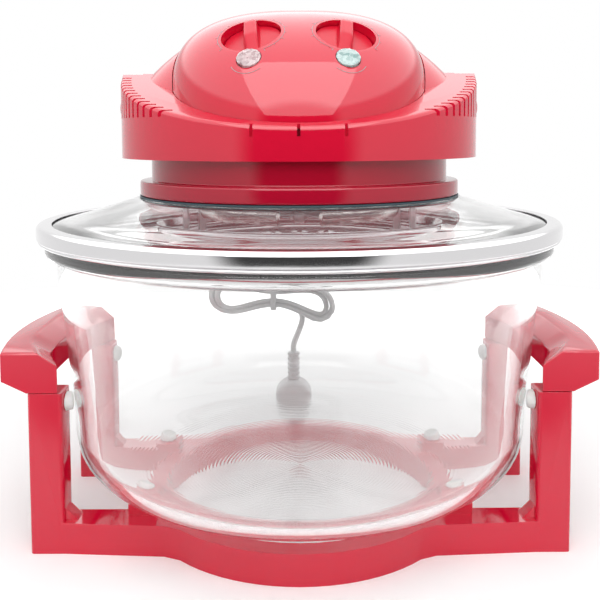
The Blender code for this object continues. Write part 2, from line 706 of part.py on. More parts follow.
# %% Head
def head_outline(inset, steps=22):
    """Plan of the shell: a wide oval in front, stepping in to a smaller oval behind."""
    front_a, front_b = SHELL_A - inset, SHELL_B - inset
    rear_a, rear_b = SHELL_REAR_A - inset, SHELL_REAR_B - inset
    step_y = EAR_END_Y - inset
    first = math.asin(step_y / front_b)
    points = []
    for i in range(steps + 1):
        angle = first - (pi + 2 * first) * i / steps
        points.append((front_a * cos(angle), front_b * sin(angle)))
    begin = math.asin(step_y / rear_b)
    for i in range(steps + 1):
        angle = pi - begin - (pi - 2 * begin) * i / steps
        points.append((rear_a * cos(angle), rear_b * sin(angle)))
    return points


def roof_height(y):
    slope = (ROOF_RIDGE_Z - ROOF_FRONT_Z) / SHELL_B
    return ROOF_RIDGE_Z - slope * abs(y)


def roofed_body(name, inset, low):
    """Shell outline raised to two sloping roof planes that meet over the middle."""
    tall = ROOF_RIDGE_Z + OVERRUN
    bm = prism_mesh(head_outline(inset), low, tall)
    bmesh.ops.recalc_face_normals(bm, faces=bm.faces)
    slope = math.atan((ROOF_RIDGE_Z - ROOF_FRONT_Z) / SHELL_B)
    ridge = (0, 0, ROOF_RIDGE_Z - inset / cos(slope))
    slice_off(bm, ridge, (0, -sin(slope), cos(slope)))
    slice_off(bm, ridge, (0, sin(slope), cos(slope)))
    if not inset:
        bmesh.ops.recalc_face_normals(bm, faces=bm.faces)
        rim = [e for e in bm.edges if len(e.link_faces) == 2 and 0.8 < e.calc_face_angle() < 2.4
               and all(v.co.z > ROOF_FRONT_Z - CLEARANCE and v.co.y < EAR_END_Y - ROOF_ROUND
                       for v in e.verts)]
        bmesh.ops.bevel(bm, geom=rim, offset=ROOF_ROUND, segments=2, profile=0.5,
                        affect="EDGES", material=-1)
    return finish(bm, name, None if inset else "red_plastic")


def hood_body(name, inset):
    """Rounded hood over the rear of the head, trimmed to the shell's plan."""
    bm = bmesh.new()
    bmesh.ops.create_uvsphere(bm, u_segments=36, v_segments=18, radius=1)
    size = (HOOD_A - inset, HOOD_B - inset, HOOD_C - inset)
    bmesh.ops.scale(bm, vec=size, verts=bm.verts)
    bmesh.ops.translate(bm, vec=(0, HOOD_Y, HOOD_Z), verts=bm.verts)
    hood = finish(bm, name)
    trim = prism(name + "_trim", head_outline(inset + CLEARANCE), SHELL_Z + OVERRUN,
                 HOOD_Z + HOOD_C + OVERRUN)
    return combine(hood, trim, "INTERSECT")


def wall_x(y):
    return SHELL_A * sqrt(1 - (y / SHELL_B) ** 2)


def rib_cutter():
    """Grooves over both ears: each runs up the wall and a short way in along the roof."""
    bm = bmesh.new()
    for sign in (-1, 1):
        for i in range(RIB_COUNT):
            y = RIB_FIRST_Y - i * RIB_PITCH
            wall = min(wall_x(y + RIB_GAP / 2), wall_x(y - RIB_GAP / 2))
            reach = RIB_REACH
            sections = []
            for edge in (y - RIB_GAP / 2, y + RIB_GAP / 2):
                roof = roof_height(edge)
                outline = [(wall - RIB_DEPTH, RIB_FOOT_Z), (wall + OVERRUN, RIB_FOOT_Z),
                           (wall + OVERRUN, roof + OVERRUN), (wall - reach, roof + OVERRUN),
                           (wall - reach, roof - RIB_DEPTH),
                           (wall - RIB_DEPTH * 2, roof - RIB_DEPTH),
                           (wall - RIB_DEPTH, roof - RIB_DEPTH * 2)]
                sections.append([(sign * u, edge, v) for u, v in outline])
            groove = loft_mesh(sections)
            spare = bpy.data.meshes.new("groove")
            groove.to_mesh(spare)
            groove.free()
            bm.from_mesh(spare)
            bpy.data.meshes.remove(spare)
    return finish(bm, "rib_grooves")


def make_shell():
    shell = roofed_body("top_shell", 0, SHELL_Z)
    combine(shell, hood_body("hood", 0), "UNION")
    combine(shell, roofed_body("shell_room", SHELL_WALL, SHELL_Z - OVERRUN), "DIFFERENCE")
    combine(shell, hood_body("hood_room", SHELL_WALL), "DIFFERENCE")
    opening = prism("dome_opening", dome_outline(CLEARANCE), SHELL_Z + SHELL_WALL * 3,
                    HOOD_Z + HOOD_C + OVERRUN)
    combine(shell, opening, "DIFFERENCE")
    combine(shell, rib_cutter(), "DIFFERENCE")
    for i in (-1, 0, 1):
        slot = box_outline(i * NOTCH_PITCH, -SHELL_B, NOTCH_WIDTH, SHELL_WALL * 4)
        low = ROOF_FRONT_Z - NOTCH_DEPTH
        notch = prism("notch_%d" % (i + 2), slot, low, ROOF_FRONT_Z + OVERRUN)
        combine(shell, notch, "DIFFERENCE")
    for sign, word in ((-1, "left"), (1, "right")):
        bore = prism("spindle_bore_" + word,
                     circle_outline(BAIL_PIVOT_Y, BAIL_PIVOT_Z, SPINDLE_R + RUNNING_GAP),
                     sign * (SHELL_REAR_A - SHELL_WALL - OVERRUN), sign * (SHELL_REAR_A + OVERRUN),
                     "X")
        combine(shell, bore, "DIFFERENCE")


def dome_height(x, y, inset=0.0):
    """Top of the control dome over a point of its plan."""
    a, b = DOME_A - inset, DOME_B - inset
    u, v = x / a, (y - DOME_Y) / b
    spread = min(1.0, sqrt(u * u + v * v))
    side = (u / spread) ** 2 if spread else 0
    power = DOME_POWER + DOME_SIDE_POWER * side
    slope = (ROOF_RIDGE_Z - ROOF_FRONT_Z) / SHELL_B
    foot = ROOF_RIDGE_Z + slope * y
    rise = DOME_RISE - RISE_LEAN_SHARE * y
    return foot + rise * max(0.0, 1 - spread ** power) ** (1 / power) - inset


def dome_outline(grow):
    """Plan of the dome: an oval cut straight at the seam with the hood."""
    a, b = DOME_A + grow, DOME_B + grow
    seam = DOME_SEAM_Y + grow
    last = math.asin((seam - DOME_Y) / b)
    steps = DOME_SIDES
    return [(a * cos(last - (pi + 2 * last) * i / steps),
             DOME_Y + b * sin(last - (pi + 2 * last) * i / steps)) for i in range(steps + 1)]


def dome_body(name, inset, low, material=None):
    """Dome as a skin of rings over its plan, closed by a skirt and a floor."""
    bm = bmesh.new()
    a, b = DOME_A - inset, DOME_B - inset
    crown = bm.verts.new((0, DOME_Y, dome_height(0, DOME_Y, inset)))
    rings = []
    for k in range(1, DOME_RINGS + 1):
        share = sin(k / DOME_RINGS * pi / 2)
        ring = []
        for i in range(DOME_SIDES):
            angle = 2 * pi * i / DOME_SIDES
            x, y = share * a * cos(angle), DOME_Y + share * b * sin(angle)
            ring.append(bm.verts.new((x, y, dome_height(x, y, inset))))
        rings.append(ring)
    rings.append([bm.verts.new((v.co.x, v.co.y, low)) for v in rings[-1]])
    for i in range(DOME_SIDES):
        j = (i + 1) % DOME_SIDES
        bm.faces.new((crown, rings[0][i], rings[0][j]))
        for near, far in zip(rings, rings[1:]):
            bm.faces.new((near[i], far[i], far[j], near[j]))
    bm.faces.new(list(reversed(rings[-1])))
    bmesh.ops.recalc_face_normals(bm, faces=bm.faces)
    slice_off(bm, (0, DOME_SEAM_Y - inset, 0), (0, 1, 0))
    return finish(bm, name, material)


def knob_place(sign):
    lean = (sign * KNOB_LEAN[0], KNOB_LEAN[1], KNOB_LEAN[2])
    return lean_matrix((sign * KNOB_X, KNOB_Y, dome_height(KNOB_X, KNOB_Y)), lean)


def lens_place(sign):
    lean = (sign * LENS_LEAN[0], LENS_LEAN[1], LENS_LEAN[2])
    return lean_matrix((sign * LENS_X, LENS_Y, dome_height(LENS_X, LENS_Y)), lean)


def make_dome():
    """Hollow dome with two wells for the knobs and two holes for the lamp lenses."""
    dome = dome_body("control_dome", 0, DOME_SKIRT_Z, "red_plastic")
    room = dome_body("dome_room", DOME_WALL, DOME_SKIRT_Z - OVERRUN)
    for sign, word in ((-1, "left"), (1, "right")):
        cup = revolve("cup_" + word, [(0, -WELL_DEPTH - WELL_WALL),
                                      (WELL_R + WELL_WALL, -WELL_DEPTH - WELL_WALL),
                                      (WELL_R + WELL_WALL, OVERRUN), (0, OVERRUN)],
                      None, 28, knob_place(sign))
        combine(room, cup, "DIFFERENCE")
    combine(dome, room, "DIFFERENCE")
    passage = box_outline(0, DOME_SEAM_Y, PASSAGE_HALF * 2, WELL_R)
    combine(dome, prism("passage", passage, DOME_SKIRT_Z - OVERRUN, PASSAGE_TOP), "DIFFERENCE")
    bore_r = STUB_R + RUNNING_GAP
    deep = WELL_DEPTH + WELL_WALL + OVERRUN
    for sign, word in ((-1, "left"), (1, "right")):
        well = revolve("well_" + word, [(0, -deep), (bore_r, -deep), (bore_r, -WELL_DEPTH),
                                        (WELL_R, -WELL_DEPTH), (WELL_R, OVERRUN * 2),
                                        (0, OVERRUN * 2)], None, 28, knob_place(sign))
        combine(dome, well, "DIFFERENCE")
        hole = revolve("lens_hole_" + word, [(0, -OVERRUN * 1.2),
                                             (LENS_R + CLEARANCE, -OVERRUN * 1.2),
                                             (LENS_R + CLEARANCE, OVERRUN), (0, OVERRUN)],
                       None, 20, lens_place(sign))
        combine(dome, hole, "DIFFERENCE")
    lens = [(0, -DOME_WALL), (LENS_R, -DOME_WALL), (LENS_R, LENS_FLANGE / 2),
            (LENS_R * 0.8, LENS_FLANGE), (LENS_R * 0.4, LENS_FLANGE * 1.5), (0, LENS_FLANGE * 1.6)]
    revolve("power_lens", lens, "clear_lens", 20, lens_place(-1))
    revolve("heat_lens", lens, "green_lens", 20, lens_place(1))


def make_knob(name, sign):
    """Disc with a raised bar grip and a stub shaft, turning in its well."""
    disc_low = CLEARANCE * 2 - WELL_DEPTH
    disc_high = disc_low + KNOB_DISC
    deep = disc_low - STUB_LENGTH
    profile = [(0, deep), (STUB_R, deep), (STUB_R, disc_low), (KNOB_R, disc_low),
               (KNOB_R, disc_high), (0, disc_high)]
    knob = revolve(name, profile, "red_plastic", 28, knob_place(sign))
    half = KNOB_R - GRIP_ROUND
    top = disc_high + GRIP_RISE
    sections = []
    for y, lift in ((-half, 0.45), (-half * 0.55, 0.62), (-half * 0.1, 0.98), (half * 0.6, 1.0),
                    (half, 0.86)):
        crest = disc_high + lift * GRIP_RISE
        wide = GRIP_WIDTH / 2 * (1 - 0.15 * (y / half) ** 2)
        sections.append([(-wide, y, disc_low + GRIP_ROUND), (wide, y, disc_low + GRIP_ROUND),
                         (wide, y, crest - GRIP_ROUND), (wide - GRIP_ROUND, y, crest),
                         (GRIP_ROUND - wide, y, crest), (-wide, y, crest - GRIP_ROUND)])
    grip = finish(loft_mesh(sections), name + "_grip", None, knob_place(sign))
    combine(knob, grip, "UNION")
    return top


def make_controls():
    """Thermostat and timer under the wells, each with a blind bore for its knob's stub."""
    face = -WELL_DEPTH - WELL_WALL - CLEARANCE
    bore_r = STUB_R + RUNNING_GAP
    for sign, word in ((-1, "thermostat"), (1, "timer")):
        profile = [(bore_r, face), (CONTROL_R, face), (CONTROL_R, face - CONTROL_LENGTH),
                   (0, face - CONTROL_LENGTH), (0, face - STUB_LENGTH), (bore_r, face - STUB_LENGTH)]
        revolve(word, profile, "dull_steel", 20, knob_place(sign))


def make_head_base():
    """Flange, neck and floor, with a plate on top that closes the shell from below."""
    inner_r = NECK_R - BASE_WALL
    floor_z = FLANGE_Z + BASE_WALL
    plate_top = SHELL_Z + BASE_WALL / 2
    edge = BASE_WALL / 3
    hole = SHAFT_R * 3
    profile = [(hole, FLANGE_Z), (FLANGE_R - edge, FLANGE_Z), (FLANGE_R, FLANGE_Z + edge),
               (FLANGE_R, FLANGE_TOP - edge), (FLANGE_R - edge, FLANGE_TOP), (NECK_R, FLANGE_TOP),
               (NECK_R, SHELL_Z + CLEARANCE * 3), (inner_r, SHELL_Z + CLEARANCE * 3),
               (inner_r, floor_z), (hole, floor_z)]
    base = revolve("head_base", profile, "dark_red_plastic")
    plate_low = SHELL_Z + CLEARANCE
    plate = prism("base_plate", head_outline(SHELL_WALL + CLEARANCE), plate_low, plate_top)
    hole_r = inner_r - BASE_WALL / 3
    through = prism("plate_hole", circle_outline(0, 0, hole_r, 40), SHELL_Z - OVERRUN,
                    plate_top + OVERRUN)
    combine(plate, through, "DIFFERENCE")
    combine(base, plate, "UNION")
    width, length, height = SWITCH_SIZE
    stem = box_outline(-switch_x(), SWITCH_Y, width * 0.8, length * 0.8)
    post = prism("switch_post", stem, plate_low + CLEARANCE,
                 BAIL_PIVOT_Z - height / 2 - CLEARANCE)
    combine(base, post, "UNION")
    outlet = prism("cord_outlet", circle_outline(GLAND_X, GLAND_Z, GLAND_R + CLEARANCE),
                   inner_r - OVERRUN * 2, NECK_R + OVERRUN, "Y")
    combine(base, outlet, "DIFFERENCE")


# %% Carry handle and its safety switch
def switch_x():
    """Distance of the switch and the cam from the middle plane."""
    return SPINDLE_END_X - CLEARANCE - CAM_THICK / 2


def bail_section(share):
    """Rounded section of the bail at a share of its way from right hub to left hub."""
    angle = pi * share
    round_by = BAIL_WIDTH / 4
    half_w, half_h = BAIL_WIDTH / 2, BAIL_HEIGHT / 2
    corner = [(half_w - round_by, half_h), (half_w, half_h - round_by),
              (half_w, round_by - half_h), (half_w - round_by, -half_h),
              (round_by - half_w, -half_h), (-half_w, round_by - half_h),
              (-half_w, half_h - round_by), (round_by - half_w, half_h)]
    centre_x = BAIL_INNER_X + half_w
    centre_y = BAIL_INNER_Y - BAIL_PIVOT_Y + half_w
    squareness = 0.82
    cx = centre_x * math.copysign(abs(cos(angle)) ** squareness, cos(angle))
    cy = centre_y * abs(sin(angle)) ** squareness
    out = Vector((cos(angle) / centre_x, sin(angle) / centre_y, 0)).normalized()
    drop = BAIL_DROOP * sin(angle)
    return [(cx + out.x * u, BAIL_PIVOT_Y + cy + out.y * u, BAIL_PIVOT_Z - drop + v)
            for u, v in corner]


def make_bail():
    """Bail with a round hub at each end and a spindle through the shell's wall."""
    turn = Matrix.Translation((0, BAIL_PIVOT_Y, BAIL_PIVOT_Z))
    sections = [bail_section(i / BAIL_STATIONS) for i in range(BAIL_STATIONS + 1)]
    bm = loft_mesh(sections)
    bmesh.ops.transform(bm, matrix=turn.inverted(), verts=bm.verts)
    bail = finish(bm, "carry_handle", "red_plastic", turn)
    outer_x = BAIL_INNER_X + BAIL_WIDTH
    edge = GRIP_ROUND
    for sign, word in ((-1, "left"), (1, "right")):
        hub = [(0, SPINDLE_END_X), (SPINDLE_R, SPINDLE_END_X),
               (SPINDLE_R, BAIL_INNER_X - CLEARANCE), (BAIL_HUB_R - edge, BAIL_INNER_X - CLEARANCE),
               (BAIL_HUB_R, BAIL_INNER_X + edge), (BAIL_HUB_R, outer_x - edge),
               (BAIL_HUB_R - edge, outer_x + CLEARANCE), (0, outer_x + CLEARANCE)]
        spin = Matrix.Rotation(sign * pi / 2, 4, "Y")
        combine(bail, revolve("hub_" + word, hub, None, 20, turn @ spin), "UNION")
        low = outer_x + CLEARANCE * 2
        high = low + CAP_THICK
        cap = [(0, low), (CAP_R, low), (CAP_R, high - CAP_THICK / 2),
               (CAP_R * 0.75, high - CAP_THICK / 8), (CAP_R * 0.4, high), (0, high)]
        revolve("pivot_cap_" + word, cap, "red_plastic", 20, turn @ spin)


def make_switch():
    """Cam on the left spindle, with the safety switch and its plunger in front of it."""
    x = -switch_x()
    width, length, height = SWITCH_SIZE
    turn = Matrix.Translation((0, BAIL_PIVOT_Y, BAIL_PIVOT_Z))
    ring = circle_outline(0, 0, SPINDLE_R, 24)
    cam_points = [p for p in ring if p[0] > -SPINDLE_R * 0.9]
    order = sorted(cam_points, key=lambda p: math.atan2(p[1], p[0]))
    outline = order + [(-CAM_LOBE_R * 0.9, CAM_LOBE_HALF), (-CAM_LOBE_R, 0),
                       (-CAM_LOBE_R * 0.9, -CAM_LOBE_HALF)]
    prism("handle_cam", outline, x - CAM_THICK / 2, x + CAM_THICK / 2, "X", "black_plastic", turn)
    box = box_outline(x, SWITCH_Y, width, length)
    body = prism("safety_switch", box, BAIL_PIVOT_Z - height / 2, BAIL_PIVOT_Z + height / 2, "Z",
                 "black_plastic")
    tip_y = BAIL_PIVOT_Y - CAM_LOBE_R - PLUNGER_GAP
    root_y = SWITCH_Y + length / 4
    bore = prism("plunger_bore", circle_outline(x, BAIL_PIVOT_Z, PLUNGER_R + RUNNING_GAP, 12),
                 root_y - OVERRUN, SWITCH_Y + length / 2 + OVERRUN, "Y")
    combine(body, bore, "DIFFERENCE")
    slide = Matrix.Translation((x, root_y, BAIL_PIVOT_Z))
    prism("switch_plunger", circle_outline(0, 0, PLUNGER_R, 12), 0, tip_y - root_y, "Y",
          "white_silicone", slide)


# %% Heater, fans and guard
def make_heater():
    top = FLANGE_Z - CLEARANCE
    low = top - REFLECTOR_THICK
    revolve("reflector_plate", [(REFLECTOR_HOLE_R, low), (REFLECTOR_R, low), (REFLECTOR_R, top),
                                (REFLECTOR_HOLE_R, top)], "steel")
    steps = 32
    start = radians(LAMP_GAP_DEG / 2 - 90)
    sweep = 2 * pi - radians(LAMP_GAP_DEG)
    ring = [Vector((LAMP_RING_R * cos(start + sweep * i / steps),
                    LAMP_RING_R * sin(start + sweep * i / steps), LAMP_Z)) for i in range(steps + 1)]
    tube("halogen_lamp", ring, LAMP_TUBE_R, 2, "quartz")
    for i in range(CLIP_COUNT):
        angle = radians(90 + 360 / CLIP_COUNT * (i + 0.5))
        inner = LAMP_TUBE_R + CLEARANCE
        outer = inner + CLIP_METAL
        hook = (arc(LAMP_RING_R, LAMP_Z, outer, -20, 90, 7)
                + [(LAMP_RING_R + CLIP_METAL, LAMP_Z + outer), (LAMP_RING_R + CLIP_METAL, low - CLEARANCE),
                   (LAMP_RING_R - CLIP_METAL, low - CLEARANCE), (LAMP_RING_R - CLIP_METAL, LAMP_Z + outer)]
                + arc(LAMP_RING_R, LAMP_Z, outer, 100, 200, 7)
                + arc(LAMP_RING_R, LAMP_Z, inner, 200, -20, 14))
        prism("lamp_clip_%d" % (i + 1), hook, -CLIP_WIDTH / 2, CLIP_WIDTH / 2, "Y", "dull_steel",
              Matrix.Rotation(angle, 4, "Z"))


def make_guard():
    t = GUARD_METAL
    lip = t * 2
    profile = [(GUARD_EYE_R, GUARD_FLOOR_Z), (GUARD_FLOOR_R, GUARD_FLOOR_Z),
               (GUARD_STEP_R, GUARD_FLOOR_Z + lip), (GUARD_STEP_R + lip, GUARD_FLOOR_Z + lip * 2.4),
               (GUARD_R - lip, GUARD_RIM_Z - lip * 3), (GUARD_R, GUARD_RIM_Z - lip),
               (GUARD_R, GUARD_RIM_Z), (GUARD_R - t, GUARD_RIM_Z),
               (GUARD_R - lip - t, GUARD_RIM_Z - lip * 2.4),
               (GUARD_STEP_R + lip - t, GUARD_FLOOR_Z + lip * 3), (GUARD_STEP_R - t, GUARD_FLOOR_Z + lip * 1.6),
               (GUARD_FLOOR_R - t, GUARD_FLOOR_Z + t), (GUARD_EYE_R, GUARD_FLOOR_Z + t)]
    guard = revolve("lamp_guard", profile, "steel", 36)
    bm = bmesh.new()
    for ring_r, count in GUARD_RINGS:
        for i in range(count):
            angle = 2 * pi * (i + 0.5) / count
            place = Matrix.Translation((ring_r * cos(angle), ring_r * sin(angle), GUARD_FLOOR_Z + t / 2))
            bmesh.ops.create_cone(bm, cap_ends=True, segments=6, radius1=GUARD_HOLE_R,
                                  radius2=GUARD_HOLE_R, depth=OVERRUN, matrix=place)
    combine(guard, finish(bm, "guard_holes"), "DIFFERENCE")
    low = GUARD_FLOOR_Z + t * 2.5
    high = FLANGE_Z - REFLECTOR_THICK - CLEARANCE * 2
    for i, degrees in enumerate(GUARD_POST_ANGLES):
        strap = box_outline(GUARD_POST_R, 0, GUARD_POST_METAL, GUARD_POST_WIDTH)
        prism("guard_post_%d" % (i + 1), strap, low, high, "Z", "dull_steel",
              Matrix.Rotation(radians(degrees), 4, "Z"))


def fan(name, radius, low, blade_up):
    """Disc with a hub, and blades bent up or down from it."""
    bore = SHAFT_R + CLEARANCE
    high = low + FAN_PLATE
    hub_low, hub_high = (low, low + FAN_HEIGHT) if blade_up else (high - FAN_HEIGHT, high)
    profile = [(bore, hub_low), (FAN_HUB_R, hub_low)]
    if blade_up:
        profile += [(radius * 0.6, low), (radius * 0.6, high), (FAN_HUB_R, high), (FAN_HUB_R, hub_high)]
    else:
        profile += [(FAN_HUB_R, low), (radius * 0.6, low), (radius * 0.6, high), (FAN_HUB_R, high)]
    profile.append((bore, hub_high))
    wheel = revolve(name, profile, "dull_steel", 24)
    side = 1 if blade_up else -1
    for i in range(FAN_BLADES):
        place = Matrix.Rotation(2 * pi * i / FAN_BLADES, 4, "Z")
        middle = low + FAN_PLATE / 2
        tip = middle + side * FAN_HEIGHT
        half = radius * 0.2
        root = radius * 0.42
        outline = [(-half, middle - FAN_PLATE * 0.4), (half, tip - FAN_PLATE * 0.4),
                   (half, tip + FAN_PLATE * 0.4), (-half, middle + FAN_PLATE * 0.4)]
        blade = prism_mesh([(v, w) for v, w in outline], root, radius, "X")
        combine(wheel, finish(blade, "%s_blade_%d" % (name, i + 1), None, place), "UNION")
    return wheel


def make_rotor():
    fan("convection_fan", HOT_FAN_R, HOT_FAN_Z, True)
    fan("cooling_fan", COOL_FAN_R, COOL_FAN_Z, True)
    shaft_top = MOTOR_Z + MOTOR_BORE - CLEARANCE
    collar = SHAFT_R * 1.6
    profile = [(0, SHAFT_LOW_Z), (SHAFT_R, SHAFT_LOW_Z),
               (SHAFT_R, HOT_FAN_Z + FAN_HEIGHT + CLEARANCE), (collar, HOT_FAN_Z + FAN_HEIGHT + CLEARANCE),
               (collar, COOL_FAN_Z - CLEARANCE), (SHAFT_R, COOL_FAN_Z - CLEARANCE),
               (SHAFT_R, shaft_top), (0, shaft_top)]
    revolve("motor_shaft", profile, "dull_steel", SMALL_STEPS)
    low = HOT_FAN_Z - CLEARANCE - NUT_HEIGHT
    sides = 6
    bore = SHAFT_R / cos(pi / sides) + CLEARANCE
    revolve("fan_nut", [(bore, low), (NUT_R, low), (NUT_R, low + NUT_HEIGHT), (bore, low + NUT_HEIGHT)],
            "dull_steel", sides)


def make_motor():
    bore = SHAFT_R + RUNNING_GAP
    body_top = MOTOR_Z + MOTOR_HEIGHT
    profile = [(bore, MOTOR_Z), (MOTOR_R, MOTOR_Z), (MOTOR_R, body_top), (MOTOR_CAN_R, body_top),
               (MOTOR_CAN_R, body_top + MOTOR_CAN_HEIGHT), (0, body_top + MOTOR_CAN_HEIGHT),
               (0, MOTOR_Z + MOTOR_BORE), (bore, MOTOR_Z + MOTOR_BORE)]
    revolve("fan_motor", profile, "dull_steel", 28)
    floor = FLANGE_Z + BASE_WALL + CLEARANCE
    top = MOTOR_Z - CLEARANCE
    t = BRACKET_METAL
    outer, inner, foot = BRACKET_HALF, BRACKET_HALF - t, BRACKET_HALF + t * 4
    strap = [(-foot, floor), (-inner, floor), (-inner, top - t), (inner, top - t), (inner, floor),
             (foot, floor), (foot, floor + t), (outer, floor + t), (outer, top), (-outer, top),
             (-outer, floor + t), (-foot, floor + t)]
    bracket = prism("motor_bracket", strap, -BRACKET_WIDTH / 2, BRACKET_WIDTH / 2, "Y", "dull_steel")
    hole = prism("bracket_hole", circle_outline(0, 0, SHAFT_R * 1.6), top - t - OVERRUN / 2,
                 top + OVERRUN / 2)
    combine(bracket, hole, "DIFFERENCE")


# %% Cord
def make_gland():
    seat = NECK_R + CLEARANCE
    profile = [(0, seat - GLAND_ROOT), (GLAND_R, seat - GLAND_ROOT), (GLAND_R, seat),
               (GLAND_FLANGE_R, seat), (GLAND_FLANGE_R, seat + GLAND_FLANGE),
               (GLAND_R, seat + GLAND_FLANGE), (GLAND_TIP_R, seat + GLAND_FLANGE + GLAND_TAIL),
               (0, seat + GLAND_FLANGE + GLAND_TAIL)]
    along_y = Matrix.Translation((GLAND_X, 0, GLAND_Z)) @ Matrix.Rotation(-pi / 2, 4, "X")
    revolve("cord_gland", profile, "grey_cord", SMALL_STEPS, along_y)
    return seat + GLAND_FLANGE + GLAND_TAIL


def hank_base(angle):
    """Middle line of the hank's loop, drawn in at its waist and drooping to the right."""
    run = HANK_HALF * cos(angle)
    swell = HANK_WAIST + HANK_SWELL * cos(angle) ** 2
    right = max(0.0, cos(angle))
    return Vector((run, 0, swell * sin(angle) - HANK_DROOP * right ** 2))


def hank_points():
    """Loops that spiral in through one layer and out through the next, and leave behind both."""
    total = round(HANK_TURNS * HANK_LOOP_POINTS)
    half = HANK_TURNS / 2
    points = []
    for i in range(total + 1):
        turn = i / HANK_LOOP_POINTS
        angle = pi / 2 + 2 * pi * turn
        step = 0.01
        along = hank_base(angle + step) - hank_base(angle - step)
        out = Vector((along.z, 0, -along.x)).normalized()
        grow = abs(half - turn) * HANK_PITCH
        climb = min(1.0, max(0.0, (turn - half + 0.25) / 0.5))
        leave = min(1.0, max(0.0, (turn - HANK_TURNS + 0.5) / 0.45))
        layer = (climb * climb * (3 - 2 * climb) + leave * leave * (3 - 2 * leave)) * HANK_PITCH
        points.append(HANK_CENTRE + hank_base(angle) + out * grow + Vector((0, layer, 0)))
    first = points[0] + Vector((HANK_LEAD, 0, 0))
    last = points[-1] + Vector((HANK_LEAD, 0, 0))
    return [first] + points + [last]


def least_gap(points, radius):
    """Least gap between parts of a tube that aren't neighbours along it."""
    reach = 4 * radius
    spacing = path_length(points) / (len(points) - 1)
    skip = math.ceil(reach * 2 / spacing)
    return min((p - q).length for i, p in enumerate(points) for q in points[i + skip:]) - 2 * radius


def make_cord(gland_end):
    hank = hank_points()
    tube("cord_hank", hank, CORD_R, 1, "grey_cord")
    print("least gap in the hank, mm:", round(least_gap(hank, CORD_R) * 1000, 2))
    join = Vector((CLEARANCE, 0, 0))
    top_end = hank[0] + join
    low_start = hank[-1] + join
    start = Vector((GLAND_X, gland_end + CLEARANCE, GLAND_Z))
    upper = led_route(start, (0, 1, 0), UPPER_ROUTE, top_end, (-1, 0, 0))
    relief_top = PLUG_FOOT_Z + 2 * PLUG_R + CLEARANCE + RELIEF_LENGTH
    end = Vector((PLUG_X, PLUG_Y, relief_top + CLEARANCE))
    lower = led_route(low_start, (1, 0, 0), LOWER_ROUTE, end, (0, 0, -1))
    tube("cord_upper", upper, CORD_R, CORD_BEVEL_STEPS, "grey_cord")
    tube("cord_lower", lower, CORD_R, CORD_BEVEL_STEPS, "grey_cord")
    near_ends = [p for p in upper[:-5] + lower[5:]]
    print("least gap from hank to its leads, mm:",
          round(min((p - q).length for p in near_ends for q in hank) * 1000 - 2000 * CORD_R, 2))
    print("cord length, m:", round(path_length(upper) + path_length(hank) + path_length(lower), 3))


def make_tie():
    """Flat band round the hank's waist."""
    half = HANK_TURNS / 2
    inside_y = HANK_PITCH + CORD_R + CLEARANCE
    inside_z = HANK_WAIST + half * HANK_PITCH + CORD_R + CLEARANCE
    middle_y = HANK_CENTRE.y + HANK_PITCH
    bm = bmesh.new()
    loops = []
    for grow in (0, TIE_THICK):
        width, height = inside_y + grow, inside_z + grow
        round_by = CORD_R + grow
        outline = (arc(middle_y + width - round_by, HANK_CENTRE.z + height - round_by, round_by, 0, 90, 4)
                   + arc(middle_y - width + round_by, HANK_CENTRE.z + height - round_by, round_by, 90, 180, 4)
                   + arc(middle_y - width + round_by, HANK_CENTRE.z - height + round_by, round_by, 180, 270, 4)
                   + arc(middle_y + width - round_by, HANK_CENTRE.z - height + round_by, round_by, 270, 360, 4))
        for x in (HANK_CENTRE.x - TIE_WIDTH / 2, HANK_CENTRE.x + TIE_WIDTH / 2):
            loops.append([bm.verts.new((x, y, z)) for y, z in outline])
    pairs = ((0, 1), (1, 3), (3, 2), (2, 0))
    count = len(loops[0])
    for a, b in pairs:
        for i in range(count):
            j = (i + 1) % count
            bm.faces.new((loops[a][i], loops[a][j], loops[b][j], loops[b][i]))
    finish(bm, "cord_tie", "grey_cord")


def make_plug():
    centre_z = PLUG_FOOT_Z + PLUG_R
    back, front = -PLUG_THICK / 2, PLUG_THICK / 2
    edge = PLUG_ROUND
    profile = [(0, back), (PLUG_R - edge * 2, back), (PLUG_R, back + edge), (PLUG_R, front - edge),
               (PLUG_R - edge, front), (0, front)]
    along_y = Matrix.Translation((PLUG_X, PLUG_Y, centre_z)) @ Matrix.Rotation(-pi / 2, 4, "X")
    revolve("plug_body", profile, "grey_cord", 32, along_y)
    tip = PIN_R / 3
    for sign, word in ((-1, "left"), (1, "right")):
        low, high = front + CLEARANCE, front + PIN_LENGTH
        pin = [(0, low), (PIN_R, low), (PIN_R, high - tip), (PIN_R - tip, high), (0, high)]
        offset = Matrix.Translation((sign * PIN_PITCH / 2, 0, 0))
        revolve("plug_pin_" + word, pin, "steel", 12, offset @ along_y)
    foot = PLUG_FOOT_Z + 2 * PLUG_R + CLEARANCE
    pitch = RELIEF_LENGTH / (RELIEF_RIBS * 2 + 1)
    outline = [(0, foot)]
    for i in range(RELIEF_RIBS * 2 + 1):
        radius = RELIEF_R - (RELIEF_GROOVE if i % 2 else 0)
        outline += [(radius, foot + i * pitch), (radius, foot + (i + 1) * pitch)]
    outline.append((0, foot + RELIEF_LENGTH))
    revolve("plug_relief", outline, "grey_cord", SMALL_STEPS, Matrix.Translation((PLUG_X, PLUG_Y, 0)))


clear_scene()
MATERIALS = {name: make_material(name) for name in FINISHES}
make_bowl()
make_stand()
make_handle("side_handle_left", -1)
make_handle("side_handle_right", 1)
make_pads()
make_lid()
make_shell()
make_dome()
make_knob("temperature_knob", -1)
make_knob("timer_knob", 1)
make_controls()
make_head_base()
make_bail()
make_switch()
make_heater()
make_guard()
make_rotor()
make_motor()
make_cord(make_gland())
make_tie()
make_plug()
